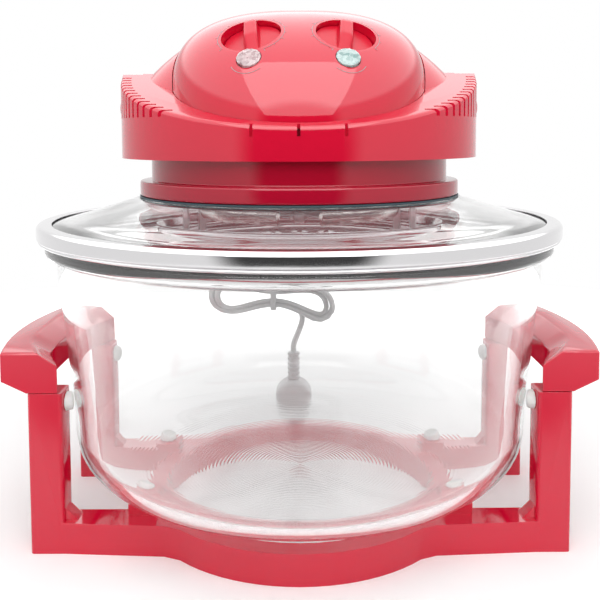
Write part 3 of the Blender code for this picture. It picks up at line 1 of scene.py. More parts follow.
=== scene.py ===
# %% [markdown]
# # A halogen oven, dressed for its portrait
# The solids of the oven are already packed as a frame that fixes every size and joint.
# This lesson gives each of its pieces a finer shape and a real-looking finish,
# one piece at a time, and never changes where anything sits.

# %% Load the frame
import math
from math import cos, pi, radians, sin, sqrt

import bmesh
import bpy
from mathutils import Matrix, Vector


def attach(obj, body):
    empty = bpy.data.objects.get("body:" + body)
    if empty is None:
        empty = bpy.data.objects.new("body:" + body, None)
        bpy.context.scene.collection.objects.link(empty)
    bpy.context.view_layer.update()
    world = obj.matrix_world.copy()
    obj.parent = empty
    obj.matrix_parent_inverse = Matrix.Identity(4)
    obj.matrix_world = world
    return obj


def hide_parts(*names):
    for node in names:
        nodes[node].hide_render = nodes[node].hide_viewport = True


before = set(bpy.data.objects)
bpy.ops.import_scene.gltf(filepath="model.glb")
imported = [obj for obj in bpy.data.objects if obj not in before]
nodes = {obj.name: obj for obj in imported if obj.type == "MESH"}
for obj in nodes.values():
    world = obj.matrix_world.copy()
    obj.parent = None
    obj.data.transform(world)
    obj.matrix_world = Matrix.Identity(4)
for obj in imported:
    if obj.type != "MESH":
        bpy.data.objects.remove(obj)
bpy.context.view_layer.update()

# %% [markdown]
# ## Camera
# The photograph looks at the oven from just above its lid, close by, so the camera is
# wide. Its posts stay nearly upright in the picture, which a small tilt and a
# little vertical shift reproduce.

# %% Camera
IMAGE_WIDTH = 600
FOCAL_PX = 817.0
SHIFT_PX = -109.5
FILM_WIDTH = 36
TILT = radians(4.0)
ROLL = 0.0040
CAMERA_PLACE = (0.0007, -0.5506, 0.2569)

camera_data = bpy.data.cameras.new("camera")
camera_data.sensor_width = FILM_WIDTH
camera_data.lens = FOCAL_PX / IMAGE_WIDTH * camera_data.sensor_width
camera_data.shift_y = SHIFT_PX / IMAGE_WIDTH
camera = bpy.data.objects.new("camera", camera_data)
camera.location = CAMERA_PLACE
camera.rotation_euler = (pi / 2 - TILT, ROLL, 0)
bpy.context.scene.collection.objects.link(camera)
bpy.context.scene.camera = camera

# %% [markdown]
# ## Cord
# The mains cord leaves the back of the head, drops over the lid's rim and is tied in a
# hank behind the bowl. A curve with a round bevel is the simplest cord, and its points
# are the route that the solid model uses, read more finely.

# %% Cord route
CORD_R = 0.0025
GAP = 0.0003
OUTLET_X, OUTLET_Z = -0.0150, 0.2340
GLAND = Vector((OUTLET_X, 0.1230, OUTLET_Z))
UPPER = ((-0.0150, 0.1280, 0.2340), (-0.0150, 0.1380, 0.2336), (-0.0150, 0.1500, 0.2300),
         (-0.0147, 0.1620, 0.2225), (-0.0140, 0.1725, 0.2130), (-0.0128, 0.1803, 0.2005),
         (-0.0100, 0.1842, 0.1860), (-0.0045, 0.1840, 0.1725), (0.0050, 0.1808, 0.1620),
         (0.0125, 0.1762, 0.1525), (0.0120, 0.1720, 0.1440), (0.0035, 0.1699, 0.1378))
LOWER = ((-0.0080, 0.1806, 0.1045), (0.0000, 0.1802, 0.0985), (0.0022, 0.1796, 0.0895),
         (-0.0008, 0.1788, 0.0800), (-0.0045, 0.1780, 0.0715))
HANK_CENTRE = Vector((-0.0240, 0.1692, 0.1190))
HANK_HALF, HANK_WAIST, HANK_SWELL, HANK_DROOP = 0.0480, 0.0029, 0.0260, 0.0130
HANK_PITCH, HANK_TURNS = 0.0057, 3.5
HANK_STEPS, HANK_LEAD = 40, 0.0040
ROUTE_STEP = 0.004


def smooth_route(points, start_dir, end_dir, spacing):
    """Even points on a smooth curve through a list of route points."""
    points = [Vector(p) for p in points]
    tangents = [Vector(start_dir) * (points[1] - points[0]).length]
    tangents += [(b - a) / 2 for a, b in zip(points, points[2:])]
    tangents += [Vector(end_dir) * (points[-1] - points[-2]).length]
    fine = []
    for p, q, tp, tq in zip(points, points[1:], tangents, tangents[1:]):
        count = max(2, round((q - p).length / spacing))
        for i in range(count):
            t = i / count
            fine.append(p * (2 * t ** 3 - 3 * t ** 2 + 1) + tp * (t ** 3 - 2 * t ** 2 + t)
                        + q * (3 * t ** 2 - 2 * t ** 3) + tq * (t ** 3 - t ** 2))
    return fine + [points[-1]]


def hank_base(angle):
    """Middle line of the hank's loop, drawn in at its waist and drooping to one side."""
    swell = HANK_WAIST + HANK_SWELL * cos(angle) ** 2
    right = max(0.0, cos(angle))
    return Vector((HANK_HALF * cos(angle), 0, swell * sin(angle) - HANK_DROOP * right ** 2))


def smooth_step(share):
    """Ease from 0 to 1, and stay level outside."""
    share = min(1.0, max(0.0, share))
    return share * share * (3 - 2 * share)


def hank_points(per_turn):
    """Loops that spiral in through one layer, out through the next, and leave behind both."""
    points = []
    for i in range(round(HANK_TURNS * per_turn) + 1):
        turn = i / per_turn
        angle = pi / 2 + 2 * pi * turn
        along = hank_base(angle + 0.01) - hank_base(angle - 0.01)
        out = Vector((along.z, 0, -along.x)).normalized()
        grow = abs(HANK_TURNS / 2 - turn) * HANK_PITCH
        layer = smooth_step((turn - HANK_TURNS / 2 + 0.25) / 0.5)
        layer += smooth_step((turn - HANK_TURNS + 0.5) / 0.45)
        points.append(HANK_CENTRE + hank_base(angle) + out * grow
                      + Vector((0, layer * HANK_PITCH, 0)))
    lead = Vector((HANK_LEAD, 0, 0))
    return [points[0] + lead] + points + [points[-1] + lead]


# %% Cord pieces
PLUG_X, PLUG_Y, RELIEF_TOP = -0.0060, 0.1780, 0.0599
hank = hank_points(HANK_STEPS)
step = Vector((2 * CORD_R, 0, 0))
top_end = hank[0] + Vector((GAP, 0, 0))
low_start = hank[-1] + Vector((GAP, 0, 0))
upper_start = GLAND + Vector((0, GAP, 0))
upper_route = [upper_start + Vector((0, 2 * CORD_R, 0)), *UPPER, top_end + step]
upper = [upper_start, *smooth_route(upper_route, (0, 1, 0), (-1, 0, 0), ROUTE_STEP), top_end]
low_end = Vector((PLUG_X, PLUG_Y, RELIEF_TOP + GAP))
lower_route = [low_start + step, *LOWER, low_end + Vector((0, 0, 2 * CORD_R))]
lower = [low_start, *smooth_route(lower_route, (1, 0, 0), (0, 0, -1), ROUTE_STEP), low_end]


def cord_curve(name, points):
    """Straight-segment curve through the points, with a round bevel as its thickness."""
    curve = bpy.data.curves.new(name, "CURVE")
    curve.dimensions = "3D"
    curve.bevel_depth = CORD_R
    curve.bevel_resolution = 4
    curve.use_fill_caps = True
    spline = curve.splines.new("POLY")
    spline.points.add(len(points) - 1)
    for target, point in zip(spline.points, points):
        target.co = (*point, 1.0)
    piece = bpy.data.objects.new(name, curve)
    bpy.context.scene.collection.objects.link(piece)
    return piece


def route_length(points):
    return sum((b - a).length for a, b in zip(points, points[1:]))


print("cord length", round(route_length(upper) + route_length(hank) + route_length(lower), 3))

# %% [markdown]
# ## Finishes
# Most finishes share one effect: slow tone changes, a fine grain and uneven gloss. It is
# built as a node group in three versions, whose grain is even, brushed or spun. The
# group only puts out colours, values and normals. The shader itself stays in each
# material, where every finish sets its own constants.

# %% Shared node groups
def new_group(name, inputs, outputs):
    """Empty shader group with named sockets, and its input and output nodes."""
    group = bpy.data.node_groups.new(name, "ShaderNodeTree")
    for label, kind, value in inputs:
        socket = group.interface.new_socket(label, in_out="INPUT", socket_type=kind)
        socket.default_value = value
    for label, kind in outputs:
        group.interface.new_socket(label, in_out="OUTPUT", socket_type=kind)
    return group, group.nodes.new("NodeGroupInput"), group.nodes.new("NodeGroupOutput")


def add_noise(tree, vector, scale, detail):
    noise = tree.nodes.new("ShaderNodeTexNoise")
    noise.inputs["Scale"].default_value = scale
    noise.inputs["Detail"].default_value = detail
    tree.links.new(vector, noise.inputs["Vector"])
    return noise.outputs["Fac"]


def add_math(tree, operation, first, second):
    node = tree.nodes.new("ShaderNodeMath")
    node.operation = operation
    for socket, value in zip(node.inputs, (first, second)):
        if isinstance(value, (int, float)):
            socket.default_value = value
        else:
            tree.links.new(value, socket)
    return node.outputs["Value"]


def surface_group(name, stretch, tone_scale, grain_scale):
    """Slow tone changes, a fine grain that can be stretched, and worn spots of roughness."""
    group, start, end = new_group(
        name,
        [("Color", "NodeSocketColor", (0.8, 0.8, 0.8, 1)), ("Tone", "NodeSocketFloat", 0.05),
         ("Roughness", "NodeSocketFloat", 0.3), ("Spread", "NodeSocketFloat", 0.06),
         ("Depth", "NodeSocketFloat", 0.00002)],
        [("Color", "NodeSocketColor"), ("Roughness", "NodeSocketFloat"),
         ("Normal", "NodeSocketVector")])
    links = group.links
    place = group.nodes.new("ShaderNodeTexCoord")
    mapping = group.nodes.new("ShaderNodeMapping")
    mapping.inputs["Scale"].default_value = stretch
    links.new(place.outputs["Object"], mapping.inputs["Vector"])
    slow = add_noise(group, place.outputs["Object"], tone_scale, 3)
    grain = add_noise(group, mapping.outputs["Vector"], grain_scale, 2)
    centred = add_math(group, "SUBTRACT", slow, 0.5)
    tone = add_math(group, "MULTIPLY", centred, start.outputs["Tone"])
    bright = add_math(group, "ADD", tone, 1.0)
    hue = group.nodes.new("ShaderNodeHueSaturation")
    links.new(bright, hue.inputs["Value"])
    links.new(start.outputs["Color"], hue.inputs["Color"])
    links.new(hue.outputs["Color"], end.inputs["Color"])
    mixed = add_math(group, "ADD", slow, grain)
    centred = add_math(group, "SUBTRACT", mixed, 1.0)
    spread = add_math(group, "MULTIPLY", centred, start.outputs["Spread"])
    links.new(add_math(group, "ADD", spread, start.outputs["Roughness"]), end.inputs["Roughness"])
    bump = group.nodes.new("ShaderNodeBump")
    bump.inputs["Strength"].default_value = 1.0
    links.new(start.outputs["Depth"], bump.inputs["Distance"])
    links.new(grain, bump.inputs["Height"])
    links.new(bump.outputs["Normal"], end.inputs["Normal"])
    return group


moulded = surface_group("moulded_surface", (1, 1, 1), 14, 900)
brushed = surface_group("brushed_surface", (1, 1, 0.04), 9, 1500)
spun = surface_group("spun_surface", (0.05, 0.05, 1), 9, 1500)


def make_finish(name, group, colour, tone, roughness, spread, depth, constants):
    """Material with one Principled shader fed by a surface group."""
    material = bpy.data.materials.new(name)
    material.use_nodes = True
    tree = material.node_tree
    shader = tree.nodes["Principled BSDF"]
    surface = tree.nodes.new("ShaderNodeGroup")
    surface.node_tree = group
    for label, value in (("Color", (*colour, 1)), ("Tone", tone), ("Roughness", roughness),
                         ("Spread", spread), ("Depth", depth)):
        surface.inputs[label].default_value = value
    tree.links.new(surface.outputs["Color"], shader.inputs["Base Color"])
    tree.links.new(surface.outputs["Roughness"], shader.inputs["Roughness"])
    tree.links.new(surface.outputs["Normal"], shader.inputs["Normal"])
    for label, value in constants.items():
        shader.inputs[label].default_value = value
    return material


# %% Finishes of the oven
red_plastic = make_finish("red_plastic_finish", moulded, (0.610, 0.0035, 0.0300), 0.08, 0.25, 0.06,
                          0.000002, {"Coat Weight": 1.0, "Coat Roughness": 0.05, "Coat IOR": 1.62,
                                     "Specular IOR Level": 0.0})
knob_red = make_finish("knob_red_finish", moulded, (0.580, 0.0030, 0.0250), 0.08, 0.38, 0.06,
                       0.000003, {"Specular IOR Level": 0.35})
dark_red = make_finish("dark_red_finish", moulded, (0.420, 0.0025, 0.0240), 0.08, 0.25, 0.06,
                       0.000002, {"Coat Weight": 0.9, "Coat Roughness": 0.07, "Coat IOR": 1.55,
                                  "Specular IOR Level": 0.0})
silicone = make_finish("silicone_finish", moulded, (0.78, 0.78, 0.76), 0.06, 0.55, 0.08,
                       0.00001, {"Subsurface Weight": 0.1, "Subsurface Scale": 0.002})
chrome = make_finish("chrome_finish", spun, (0.70, 0.69, 0.70), 0.05, 0.10, 0.05,
                     0.000002, {"Metallic": 1.0})
steel = make_finish("steel_finish", brushed, (0.66, 0.66, 0.67), 0.10, 0.32, 0.12,
                    0.000006, {"Metallic": 1.0})
gasket_rubber = make_finish("gasket_finish", moulded, (0.030, 0.060, 0.075), 0.2, 0.5, 0.1,
                            0.00001, {})
black_plastic = make_finish("black_plastic_finish", moulded, (0.03, 0.03, 0.03), 0.1, 0.45, 0.1,
                            0.00001, {})
cord_sheath = make_finish("cord_finish", moulded, (0.66, 0.645, 0.65), 0.08, 0.42, 0.08,
                          0.000012, {"Coat Weight": 0.1})
scale_print = make_finish("scale_print_finish", moulded, (0.30, 0.25, 0.26), 0.04, 0.4, 0.05,
                          0.000004, {})


def make_clear(name, colour, roughness, ripple_scale, ripple_depth, constants, ring_depth=0.0):
    """Clear material with a faint waviness, which lets the light of the lamps pass."""
    material = bpy.data.materials.new(name)
    material.use_nodes = True
    tree = material.node_tree
    shader = tree.nodes["Principled BSDF"]
    place = tree.nodes.new("ShaderNodeTexCoord")
    waviness = add_noise(tree, place.outputs["Object"], ripple_scale, 1)
    height = add_math(tree, "MULTIPLY", waviness, ripple_depth)
    if ring_depth:
        rings = pressed_rings(tree, place.outputs["Object"], ring_depth)
        height = add_math(tree, "ADD", height, rings)
    bump = tree.nodes.new("ShaderNodeBump")
    bump.inputs["Distance"].default_value = 1.0
    tree.links.new(height, bump.inputs["Height"])
    tree.links.new(bump.outputs["Normal"], shader.inputs["Normal"])
    smear = add_math(tree, "MULTIPLY", waviness, roughness * 2)
    tree.links.new(smear, shader.inputs["Roughness"])
    shader.inputs["Base Color"].default_value = (*colour, 1)
    shader.inputs["Transmission Weight"].default_value = 1.0
    for label, value in constants.items():
        shader.inputs[label].default_value = value
    path = tree.nodes.new("ShaderNodeLightPath")
    passing = tree.nodes.new("ShaderNodeBsdfTransparent")
    mix = tree.nodes.new("ShaderNodeMixShader")
    tree.links.new(path.outputs["Is Shadow Ray"], mix.inputs["Fac"])
    tree.links.new(shader.outputs["BSDF"], mix.inputs[1])
    tree.links.new(passing.outputs["BSDF"], mix.inputs[2])
    tree.links.new(mix.outputs["Shader"], tree.nodes["Material Output"].inputs["Surface"])
    return material


RING_PITCH = 0.0024
RING_LEVEL, RING_REACH = 0.0329, 0.0031


def pressed_rings(tree, place, depth):
    """Height of fine rings round the middle, only on the bowl's flat floor."""
    parts = tree.nodes.new("ShaderNodeSeparateXYZ")
    tree.links.new(place, parts.inputs["Vector"])
    level = tree.nodes.new("ShaderNodeVectorMath")
    level.operation = "MULTIPLY"
    level.inputs[1].default_value = (1, 1, 0)
    tree.links.new(place, level.inputs[0])
    radius = tree.nodes.new("ShaderNodeVectorMath")
    radius.operation = "LENGTH"
    tree.links.new(level.outputs["Vector"], radius.inputs[0])
    turns = add_math(tree, "MULTIPLY", radius.outputs["Value"], 2 * pi / RING_PITCH)
    wave = add_math(tree, "SINE", turns, 0)
    low = add_math(tree, "COMPARE", parts.outputs["Z"], RING_LEVEL)
    low.node.inputs[2].default_value = RING_REACH
    return add_math(tree, "MULTIPLY", add_math(tree, "MULTIPLY", wave, low), depth)


bowl_glass = make_clear("bowl_glass_finish", (1.0, 1.0, 1.0), 0.004, 18, 0.0001,
                        {"IOR": 1.47, "Transmission Weight": 0.975}, 0.00003)
lid_glass = make_clear("lid_glass_finish", (1.0, 1.0, 1.0), 0.004, 18, 0.0001,
                       {"IOR": 1.47, "Transmission Weight": 0.985})


def facet_and_glint_group():
    """Cells of painted glint: each cell's colour lies between a lit and a shaded copy of the lens
    colour, and each cell has a small bump.
    """
    group, start, end = new_group(
        "lens_facets_and_painted_glints",
        [("Lit Copy", "NodeSocketColor", (1, 1, 1, 1)), ("Shaded Copy", "NodeSocketColor", (0, 0, 0, 1))],
        [("Color", "NodeSocketColor"), ("Normal", "NodeSocketVector")])
    place = group.nodes.new("ShaderNodeTexCoord")
    cells = group.nodes.new("ShaderNodeTexVoronoi")
    cells.inputs["Scale"].default_value = 520
    group.links.new(place.outputs["Object"], cells.inputs["Vector"])
    parts = group.nodes.new("ShaderNodeSeparateColor")
    group.links.new(cells.outputs["Color"], parts.inputs["Color"])
    mix = group.nodes.new("ShaderNodeMix")
    mix.data_type = "RGBA"
    group.links.new(add_math(group, "POWER", parts.outputs["Red"], 2.2), mix.inputs["Factor"])
    for label, socket in (("Lit Copy", mix.inputs[6]), ("Shaded Copy", mix.inputs[7])):
        group.links.new(start.outputs[label], socket)
    group.links.new(mix.outputs[2], end.inputs["Color"])
    bump = group.nodes.new("ShaderNodeBump")
    bump.inputs["Distance"].default_value = 0.0004
    group.links.new(cells.outputs["Distance"], bump.inputs["Height"])
    group.links.new(bump.outputs["Normal"], end.inputs["Normal"])
    return group


def make_lens_finish(name, group, lit_colour, shaded_colour):
    """Half-clear plastic, coated, whose colour is painted glint from lit and shaded cells and whose
    normal is the cells' bump.
    """
    material = bpy.data.materials.new(name)
    material.use_nodes = True
    tree = material.node_tree
    shader = tree.nodes["Principled BSDF"]
    facets = tree.nodes.new("ShaderNodeGroup")
    facets.node_tree = group
    facets.inputs["Lit Copy"].default_value = (*lit_colour, 1)
    facets.inputs["Shaded Copy"].default_value = (*shaded_colour, 1)
    tree.links.new(facets.outputs["Color"], shader.inputs["Base Color"])
    tree.links.new(facets.outputs["Normal"], shader.inputs["Normal"])
    for label, value in (("Roughness", 0.08), ("IOR", 1.5), ("Transmission Weight", 0.45),
                         ("Coat Weight", 1.0), ("Coat Roughness", 0.03)):
        shader.inputs[label].default_value = value
    return material


facets = facet_and_glint_group()
# Each lens gets a lit and a shaded copy of its colour, mixed cell by cell as painted glints.
lens_rose = make_lens_finish("lens_rose_finish", facets, (0.86, 0.66, 0.67), (0.30, 0.12, 0.14))
lens_green = make_lens_finish("lens_green_finish", facets, (0.66, 0.86, 0.83), (0.12, 0.34, 0.32))
quartz = make_clear("quartz_finish", (0.93, 0.93, 0.90), 0.10, 60, 0.0002, {"IOR": 1.46})
print(len(bpy.data.materials), "materials")

# %% [markdown]
# ## Helpers for shapes
# Round pieces are spun from an outline whose corners are rounded first, because light
# catches the small radius on every moulded or pressed edge. Other pieces are lofted
# through sections. Holes are carved with an exact Boolean that is applied at once.

# %% Shape helpers
def rounded(outline, steps=4):
    """Closed outline of (u, v, radius): each corner becomes a short curve of that reach."""
    points = []
    count = len(outline)
    for i, (u, v, reach) in enumerate(outline):
        corner = Vector((u, v))
        if not reach:
            points.append(tuple(corner))
            continue
        before = Vector(outline[i - 1][:2]) - corner
        after = Vector(outline[(i + 1) % count][:2]) - corner
        first = corner + before.normalized() * min(reach, before.length * 0.48)
        last = corner + after.normalized() * min(reach, after.length * 0.48)
        for k in range(steps + 1):
            t = k / steps
            points.append(tuple(first * (1 - t) ** 2 + corner * 2 * t * (1 - t) + last * t * t))
    return points


def spin_mesh(profile, steps):
    """Turn a closed outline of (radius, height) round Z."""
    bm = bmesh.new()
    verts = [bm.verts.new((radius, 0, height)) for radius, height in profile]
    edges = [bm.edges.new((a, b)) for a, b in zip(verts, verts[1:] + verts[:1])]
    for edge in [e for e in edges if e.verts[0].co.x < 1e-9 and e.verts[1].co.x < 1e-9]:
        bm.edges.remove(edge)
    bmesh.ops.spin(bm, geom=bm.verts[:] + bm.edges[:], axis=(0, 0, 1), cent=(0, 0, 0),
                   angle=2 * pi, steps=steps, use_merge=True)
    return bm


def prism_mesh(outline, low, high, axis="Z"):
    """Extrude a closed outline between two levels along Z, Y or X."""
    bm = bmesh.new()
    order = {"Z": lambda u, v, w: (u, v, w), "Y": lambda u, v, w: (u, w, v),
             "X": lambda u, v, w: (w, u, v)}[axis]
    face = bm.faces.new([bm.verts.new(order(u, v, low)) for u, v in outline])
    extruded = bmesh.ops.extrude_face_region(bm, geom=[face])
    tops = [item for item in extruded["geom"] if isinstance(item, bmesh.types.BMVert)]
    bmesh.ops.translate(bm, verts=tops, vec=Vector(order(0, 0, high - low)))
    return bm


def circle_outline(u, v, radius, sides=24):
    """Round outline about a point."""
    return [(u + radius * cos(a * 2 * pi / sides), v + radius * sin(a * 2 * pi / sides))
            for a in range(sides)]


def loft_mesh(sections):
    """Skin a row of closed sections and close both ends."""
    bm = bmesh.new()
    rings = [[bm.verts.new(point) for point in section] for section in sections]
    for near, far in zip(rings, rings[1:]):
        edges = []
        for ring in (near, far):
            for a, b in zip(ring, ring[1:] + ring[:1]):
                edges.append(bm.edges.get((a, b)) or bm.edges.new((a, b)))
        bmesh.ops.bridge_loops(bm, edges=edges)
    bm.faces.new(rings[0])
    bm.faces.new(rings[-1])
    return bm


def to_object(bm, name, place=None):
    """Merge doubles, turn the normals out and make an object whose place is in its mesh."""
    if place:
        bmesh.ops.transform(bm, matrix=place, verts=bm.verts)
    bmesh.ops.remove_doubles(bm, verts=bm.verts, dist=1e-6)
    bmesh.ops.recalc_face_normals(bm, faces=bm.faces)
    mesh = bpy.data.meshes.new(name)
    bm.to_mesh(mesh)
    bm.free()
    piece = bpy.data.objects.new(name, mesh)
    bpy.context.scene.collection.objects.link(piece)
    return piece


def carve(piece, tool, operation="DIFFERENCE"):
    """Exact Boolean, applied at once; the tool is used up."""
    boolean = piece.modifiers.new("carve", "BOOLEAN")
    boolean.object = tool
    boolean.operation = operation
    boolean.solver = "EXACT"
    depsgraph = bpy.context.evaluated_depsgraph_get()
    mesh = bpy.data.meshes.new_from_object(piece.evaluated_get(depsgraph))
    piece.modifiers.clear()
    piece.data = mesh
    bpy.data.objects.remove(tool)
    return piece


def edge_rounding(piece, width, segments=3, angle=35):
    """Live bevel on the sharp edges only."""
    bevel = piece.modifiers.new("edges", "BEVEL")
    bevel.width = width
    bevel.segments = segments
    bevel.limit_method = "ANGLE"
    bevel.angle_limit = radians(angle)
    bevel.harden_normals = False
    return piece


def dress(piece, material, body, replaced=None, angle=35):
    """Give a finished piece its material and its body, and hide the node that it stands for."""
    if piece.type == "MESH":
        piece.data.shade_smooth()
        piece.data.set_sharp_from_angle(angle=radians(angle))
    piece.data.materials.clear()
    piece.data.materials.append(material)
    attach(piece, body)
    if replaced:
        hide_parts(*([replaced] if isinstance(replaced, str) else replaced))
    return piece


def leaning(point, normal):
    """Frame at a point with Z along the normal and X level."""
    z_axis = Vector(normal).normalized()
    x_axis = Vector((0, 0, 1)).cross(z_axis).normalized()
    turn = Matrix((x_axis, z_axis.cross(x_axis), z_axis)).transposed()
    return Matrix.Translation(point) @ turn.to_4x4()


def soft_copy(node, width, segments=3, angle=35):
    """Copy of a solid node, merged back into clean faces, with its edges rounded."""
    bm = bmesh.new()
    bm.from_mesh(nodes[node].data)
    bmesh.ops.remove_doubles(bm, verts=bm.verts, dist=2e-6)
    bmesh.ops.dissolve_limit(bm, angle_limit=radians(0.5), verts=bm.verts, edges=bm.edges)
    piece = to_object(bm, node + "_fine")
    return edge_rounding(piece, width, segments, angle)


# %% [markdown]
# ## Dressing the cord
# The cord's three stretches, its tie, relief, plug and pins all go with the lid.

# %% Cord pieces dressed
cord_upper, cord_hank, cord_lower = (
    dress(cord_curve("mains_" + node, points), cord_sheath, "lid", node)
    for node, points in (("cord_upper", upper), ("cord_hank", hank), ("cord_lower", lower)))


def make_relief():
    """Ribbed strain relief: a sleeve with five grooves."""
    foot, top, radius, core = 0.0339, RELIEF_TOP, 0.0056, 0.0045
    grooves, slant, soft = 5, 0.0002, 0.0003
    outline = [(0, foot, 0), (radius, foot, 0.0004)]
    pitch = (top - foot) / (2 * grooves + 1)
    for i in range(grooves):
        low = foot + (2 * i + 1) * pitch
        outline += [(radius, low, soft), (core, low + slant, soft),
                    (core, low + pitch - slant, soft), (radius, low + pitch, soft)]
    outline += [(radius, top, 0.0006), (0, top, 0)]
    bm = spin_mesh(rounded(outline, 2), 32)
    return to_object(bm, "relief_fine", Matrix.Translation((PLUG_X, PLUG_Y, 0)))


def make_plug():
    """Round plug body with a soft edge, lying in line with its pins."""
    radius, half, axis_z = 0.0165, 0.0110, 0.0171
    outline = [(0, -half, 0), (radius - 0.0035, -half, 0.003), (radius, -half + 0.003, 0.003),
               (radius, half - 0.002, 0.0015), (radius - 0.0015, half, 0.001), (0, half, 0)]
    along_y = Matrix.Translation((PLUG_X, PLUG_Y, axis_z)) @ Matrix.Rotation(-pi / 2, 4, "X")
    return to_object(spin_mesh(rounded(outline, 4), 64), "plug_fine", along_y)


relief = dress(make_relief(), cord_sheath, "lid", "plug_relief")
plug = dress(make_plug(), cord_sheath, "lid", "plug_body")
tie = dress(soft_copy("cord_tie", 0.0003, 2), cord_sheath, "lid", "cord_tie")
for word in ("left", "right"):
    node = "plug_pin_" + word
    dress(soft_copy(node, 0.0002, 2, 50), steel, "lid", node)

# %% [markdown]
# ## Glass bowl
# The bowl is pressed glass: thick, with a wide soft knee and a rolled lip. One outline
# holds the outer wall, the lip and the inner wall, so the glass has its true thickness
# and bends light as it should. The fine rings in its floor are finer than a mesh
# should carry, so they are a bump in the glass's finish.

# %% Bowl outline
GLASS = 0.0050
FOOT_R, WALL_R, RIM_R, LIP_R = 0.0480, 0.1488, 0.1586, 0.1650
BASE_Z, KNEE_Z, RIM_Z, LIP_Z = 0.0250, 0.0820, 0.1800, 0.1898
KNEE_POWER = 2 / 3.5
KNEE_STEPS, WALL_STEPS = 22, 8


def knee_point(share, inset=0.0):
    """Point of the knee, from the flat base at 0 to the wall at 1."""
    angle = share * pi / 2
    return (FOOT_R + (WALL_R - FOOT_R - inset) * sin(angle),
            KNEE_Z - (KNEE_Z - BASE_Z - inset) * cos(angle) ** KNEE_POWER)


def bowl_outline():
    """Outer skin up to the lip, then the inner skin down to the middle of the floor."""
    shares = [i / KNEE_STEPS for i in range(KNEE_STEPS + 1)]
    outer = [knee_point(s) for s in shares]
    inner = [knee_point(s, GLASS) for s in shares]
    wall = [(WALL_R + (RIM_R - WALL_R) * i / WALL_STEPS, KNEE_Z + (RIM_Z - KNEE_Z) * i / WALL_STEPS)
            for i in range(1, WALL_STEPS)]
    rim_inner_r = RIM_R - GLASS
    lip = rounded([(RIM_R, RIM_Z, 0), (LIP_R - 0.0016, RIM_Z + 0.0018, 0.002),
                   (LIP_R, LIP_Z - 0.0057, 0.001), (LIP_R, LIP_Z, 0.0030),
                   (LIP_R - 0.0067, LIP_Z, 0.0025), (rim_inner_r, RIM_Z + 0.0030, 0.004),
                   (rim_inner_r, RIM_Z, 0)])
    inner_wall = [(r - GLASS, z) for r, z in reversed(wall)]
    floor_z = BASE_Z + GLASS
    floor = [(FOOT_R * k / 12, floor_z) for k in range(11, -1, -2)]
    return [(0, BASE_Z)] + outer + wall + lip + inner_wall + inner[::-1] + floor + [(0, floor_z)]


bowl = to_object(spin_mesh(bowl_outline(), 128), "bowl_fine")
dress(bowl, bowl_glass, "bowl", "glass_bowl", 60)
print("bowl faces", len(bowl.data.polygons))

# %% [markdown]
# ## Lid and steel rim
# The lid is a glass ring: a flat brim and a steeper cone that rises to the hole for the
# head. Its rim is gripped by a thin steel band, rolled like a channel, whose upright wall
# ends in a small bead.

# %% Lid, band and gasket
LID_R, BRIM_R, LID_HOLE_R, LID_TOP = 0.1655, 0.1450, 0.1006, 0.2158
lid_outline = rounded([
    (LID_R, 0.1946, 0.001), (LID_R, 0.1988, 0.0012), (BRIM_R, 0.2040, 0.004),
    (0.1060, LID_TOP, 0.002), (LID_HOLE_R, LID_TOP, 0.0008), (LID_HOLE_R, 0.2116, 0.0008),
    (0.1045, 0.2110, 0.002), (BRIM_R, 0.1996, 0.004)], 5)
dress(to_object(spin_mesh(lid_outline, 128), "lid_fine"), lid_glass, "lid",
      "glass_lid", 60)
BAND_IN_R, BAND_LOW, BAND_TOP = 0.1605, 0.1901, 0.2014
band_outline = rounded([
    (BAND_IN_R, BAND_LOW, 0.0003), (0.1678, BAND_LOW, 0.0006), (0.1692, 0.1911, 0.0008),
    (0.1685, 0.1922, 0.0003), (0.1699, 0.1928, 0.0004), (0.1700, 0.1994, 0.0014),
    (0.1682, 0.2013, 0.0016), (BAND_IN_R, BAND_TOP, 0.0003), (BAND_IN_R, 0.2007, 0.0002),
    (0.1676, 0.2005, 0.001), (0.1692, 0.1992, 0.001), (0.1690, 0.1930, 0.0004),
    (0.1676, 0.1922, 0.0004), (0.1672, 0.1908, 0.0004), (BAND_IN_R, 0.1908, 0.0002)], 5)
dress(to_object(spin_mesh(band_outline, 160), "rim_band_fine"), chrome, "lid",
      "lid_rim_band", 50)
dress(soft_copy("lid_gasket", 0.0002, 2), gasket_rubber, "lid", "lid_gasket")

# %% [markdown]
# ## Head: neck, shell and hood
# The head's base is a flange and a neck of darker red. Above it sits the shell, whose two
# ears carry a row of grooves that run up the wall and over the top edge. Behind the
# ears a rounded hood closes the head. Wall and hood are carved hollow as the moulding is.

# %% Neck
SHELL_A, SHELL_B, REAR_A, REAR_B = 0.1170, 0.1050, 0.1040, 0.1010
SHELL_LOW, EAR_END, WALL = 0.2415, -0.0020, 0.0025
ROOF_TOP, ROOF_FRONT = 0.2970, 0.2605
ROOF_SLOPE = (ROOF_TOP - ROOF_FRONT) / SHELL_B
FLANGE_R, NECK_R, NECK_IN_R, SHAFT_HOLE_R = 0.1052, 0.0977, 0.0932, 0.0090
BASE_LOW, BASE_FLOOR, FLANGE_TOP, NECK_TOP = 0.2175, 0.2220, 0.2270, 0.2424
OUTLET_R, PAST = 0.0053, 0.004
neck_outline = rounded([
    (SHAFT_HOLE_R, BASE_LOW, 0), (FLANGE_R, BASE_LOW, 0.0012), (FLANGE_R, FLANGE_TOP, 0.0016),
    (NECK_R, FLANGE_TOP, 0.0010), (NECK_R, NECK_TOP, 0.0006), (NECK_IN_R, NECK_TOP, 0.0006),
    (NECK_IN_R, BASE_FLOOR, 0.001), (SHAFT_HOLE_R, BASE_FLOOR, 0)], 4)


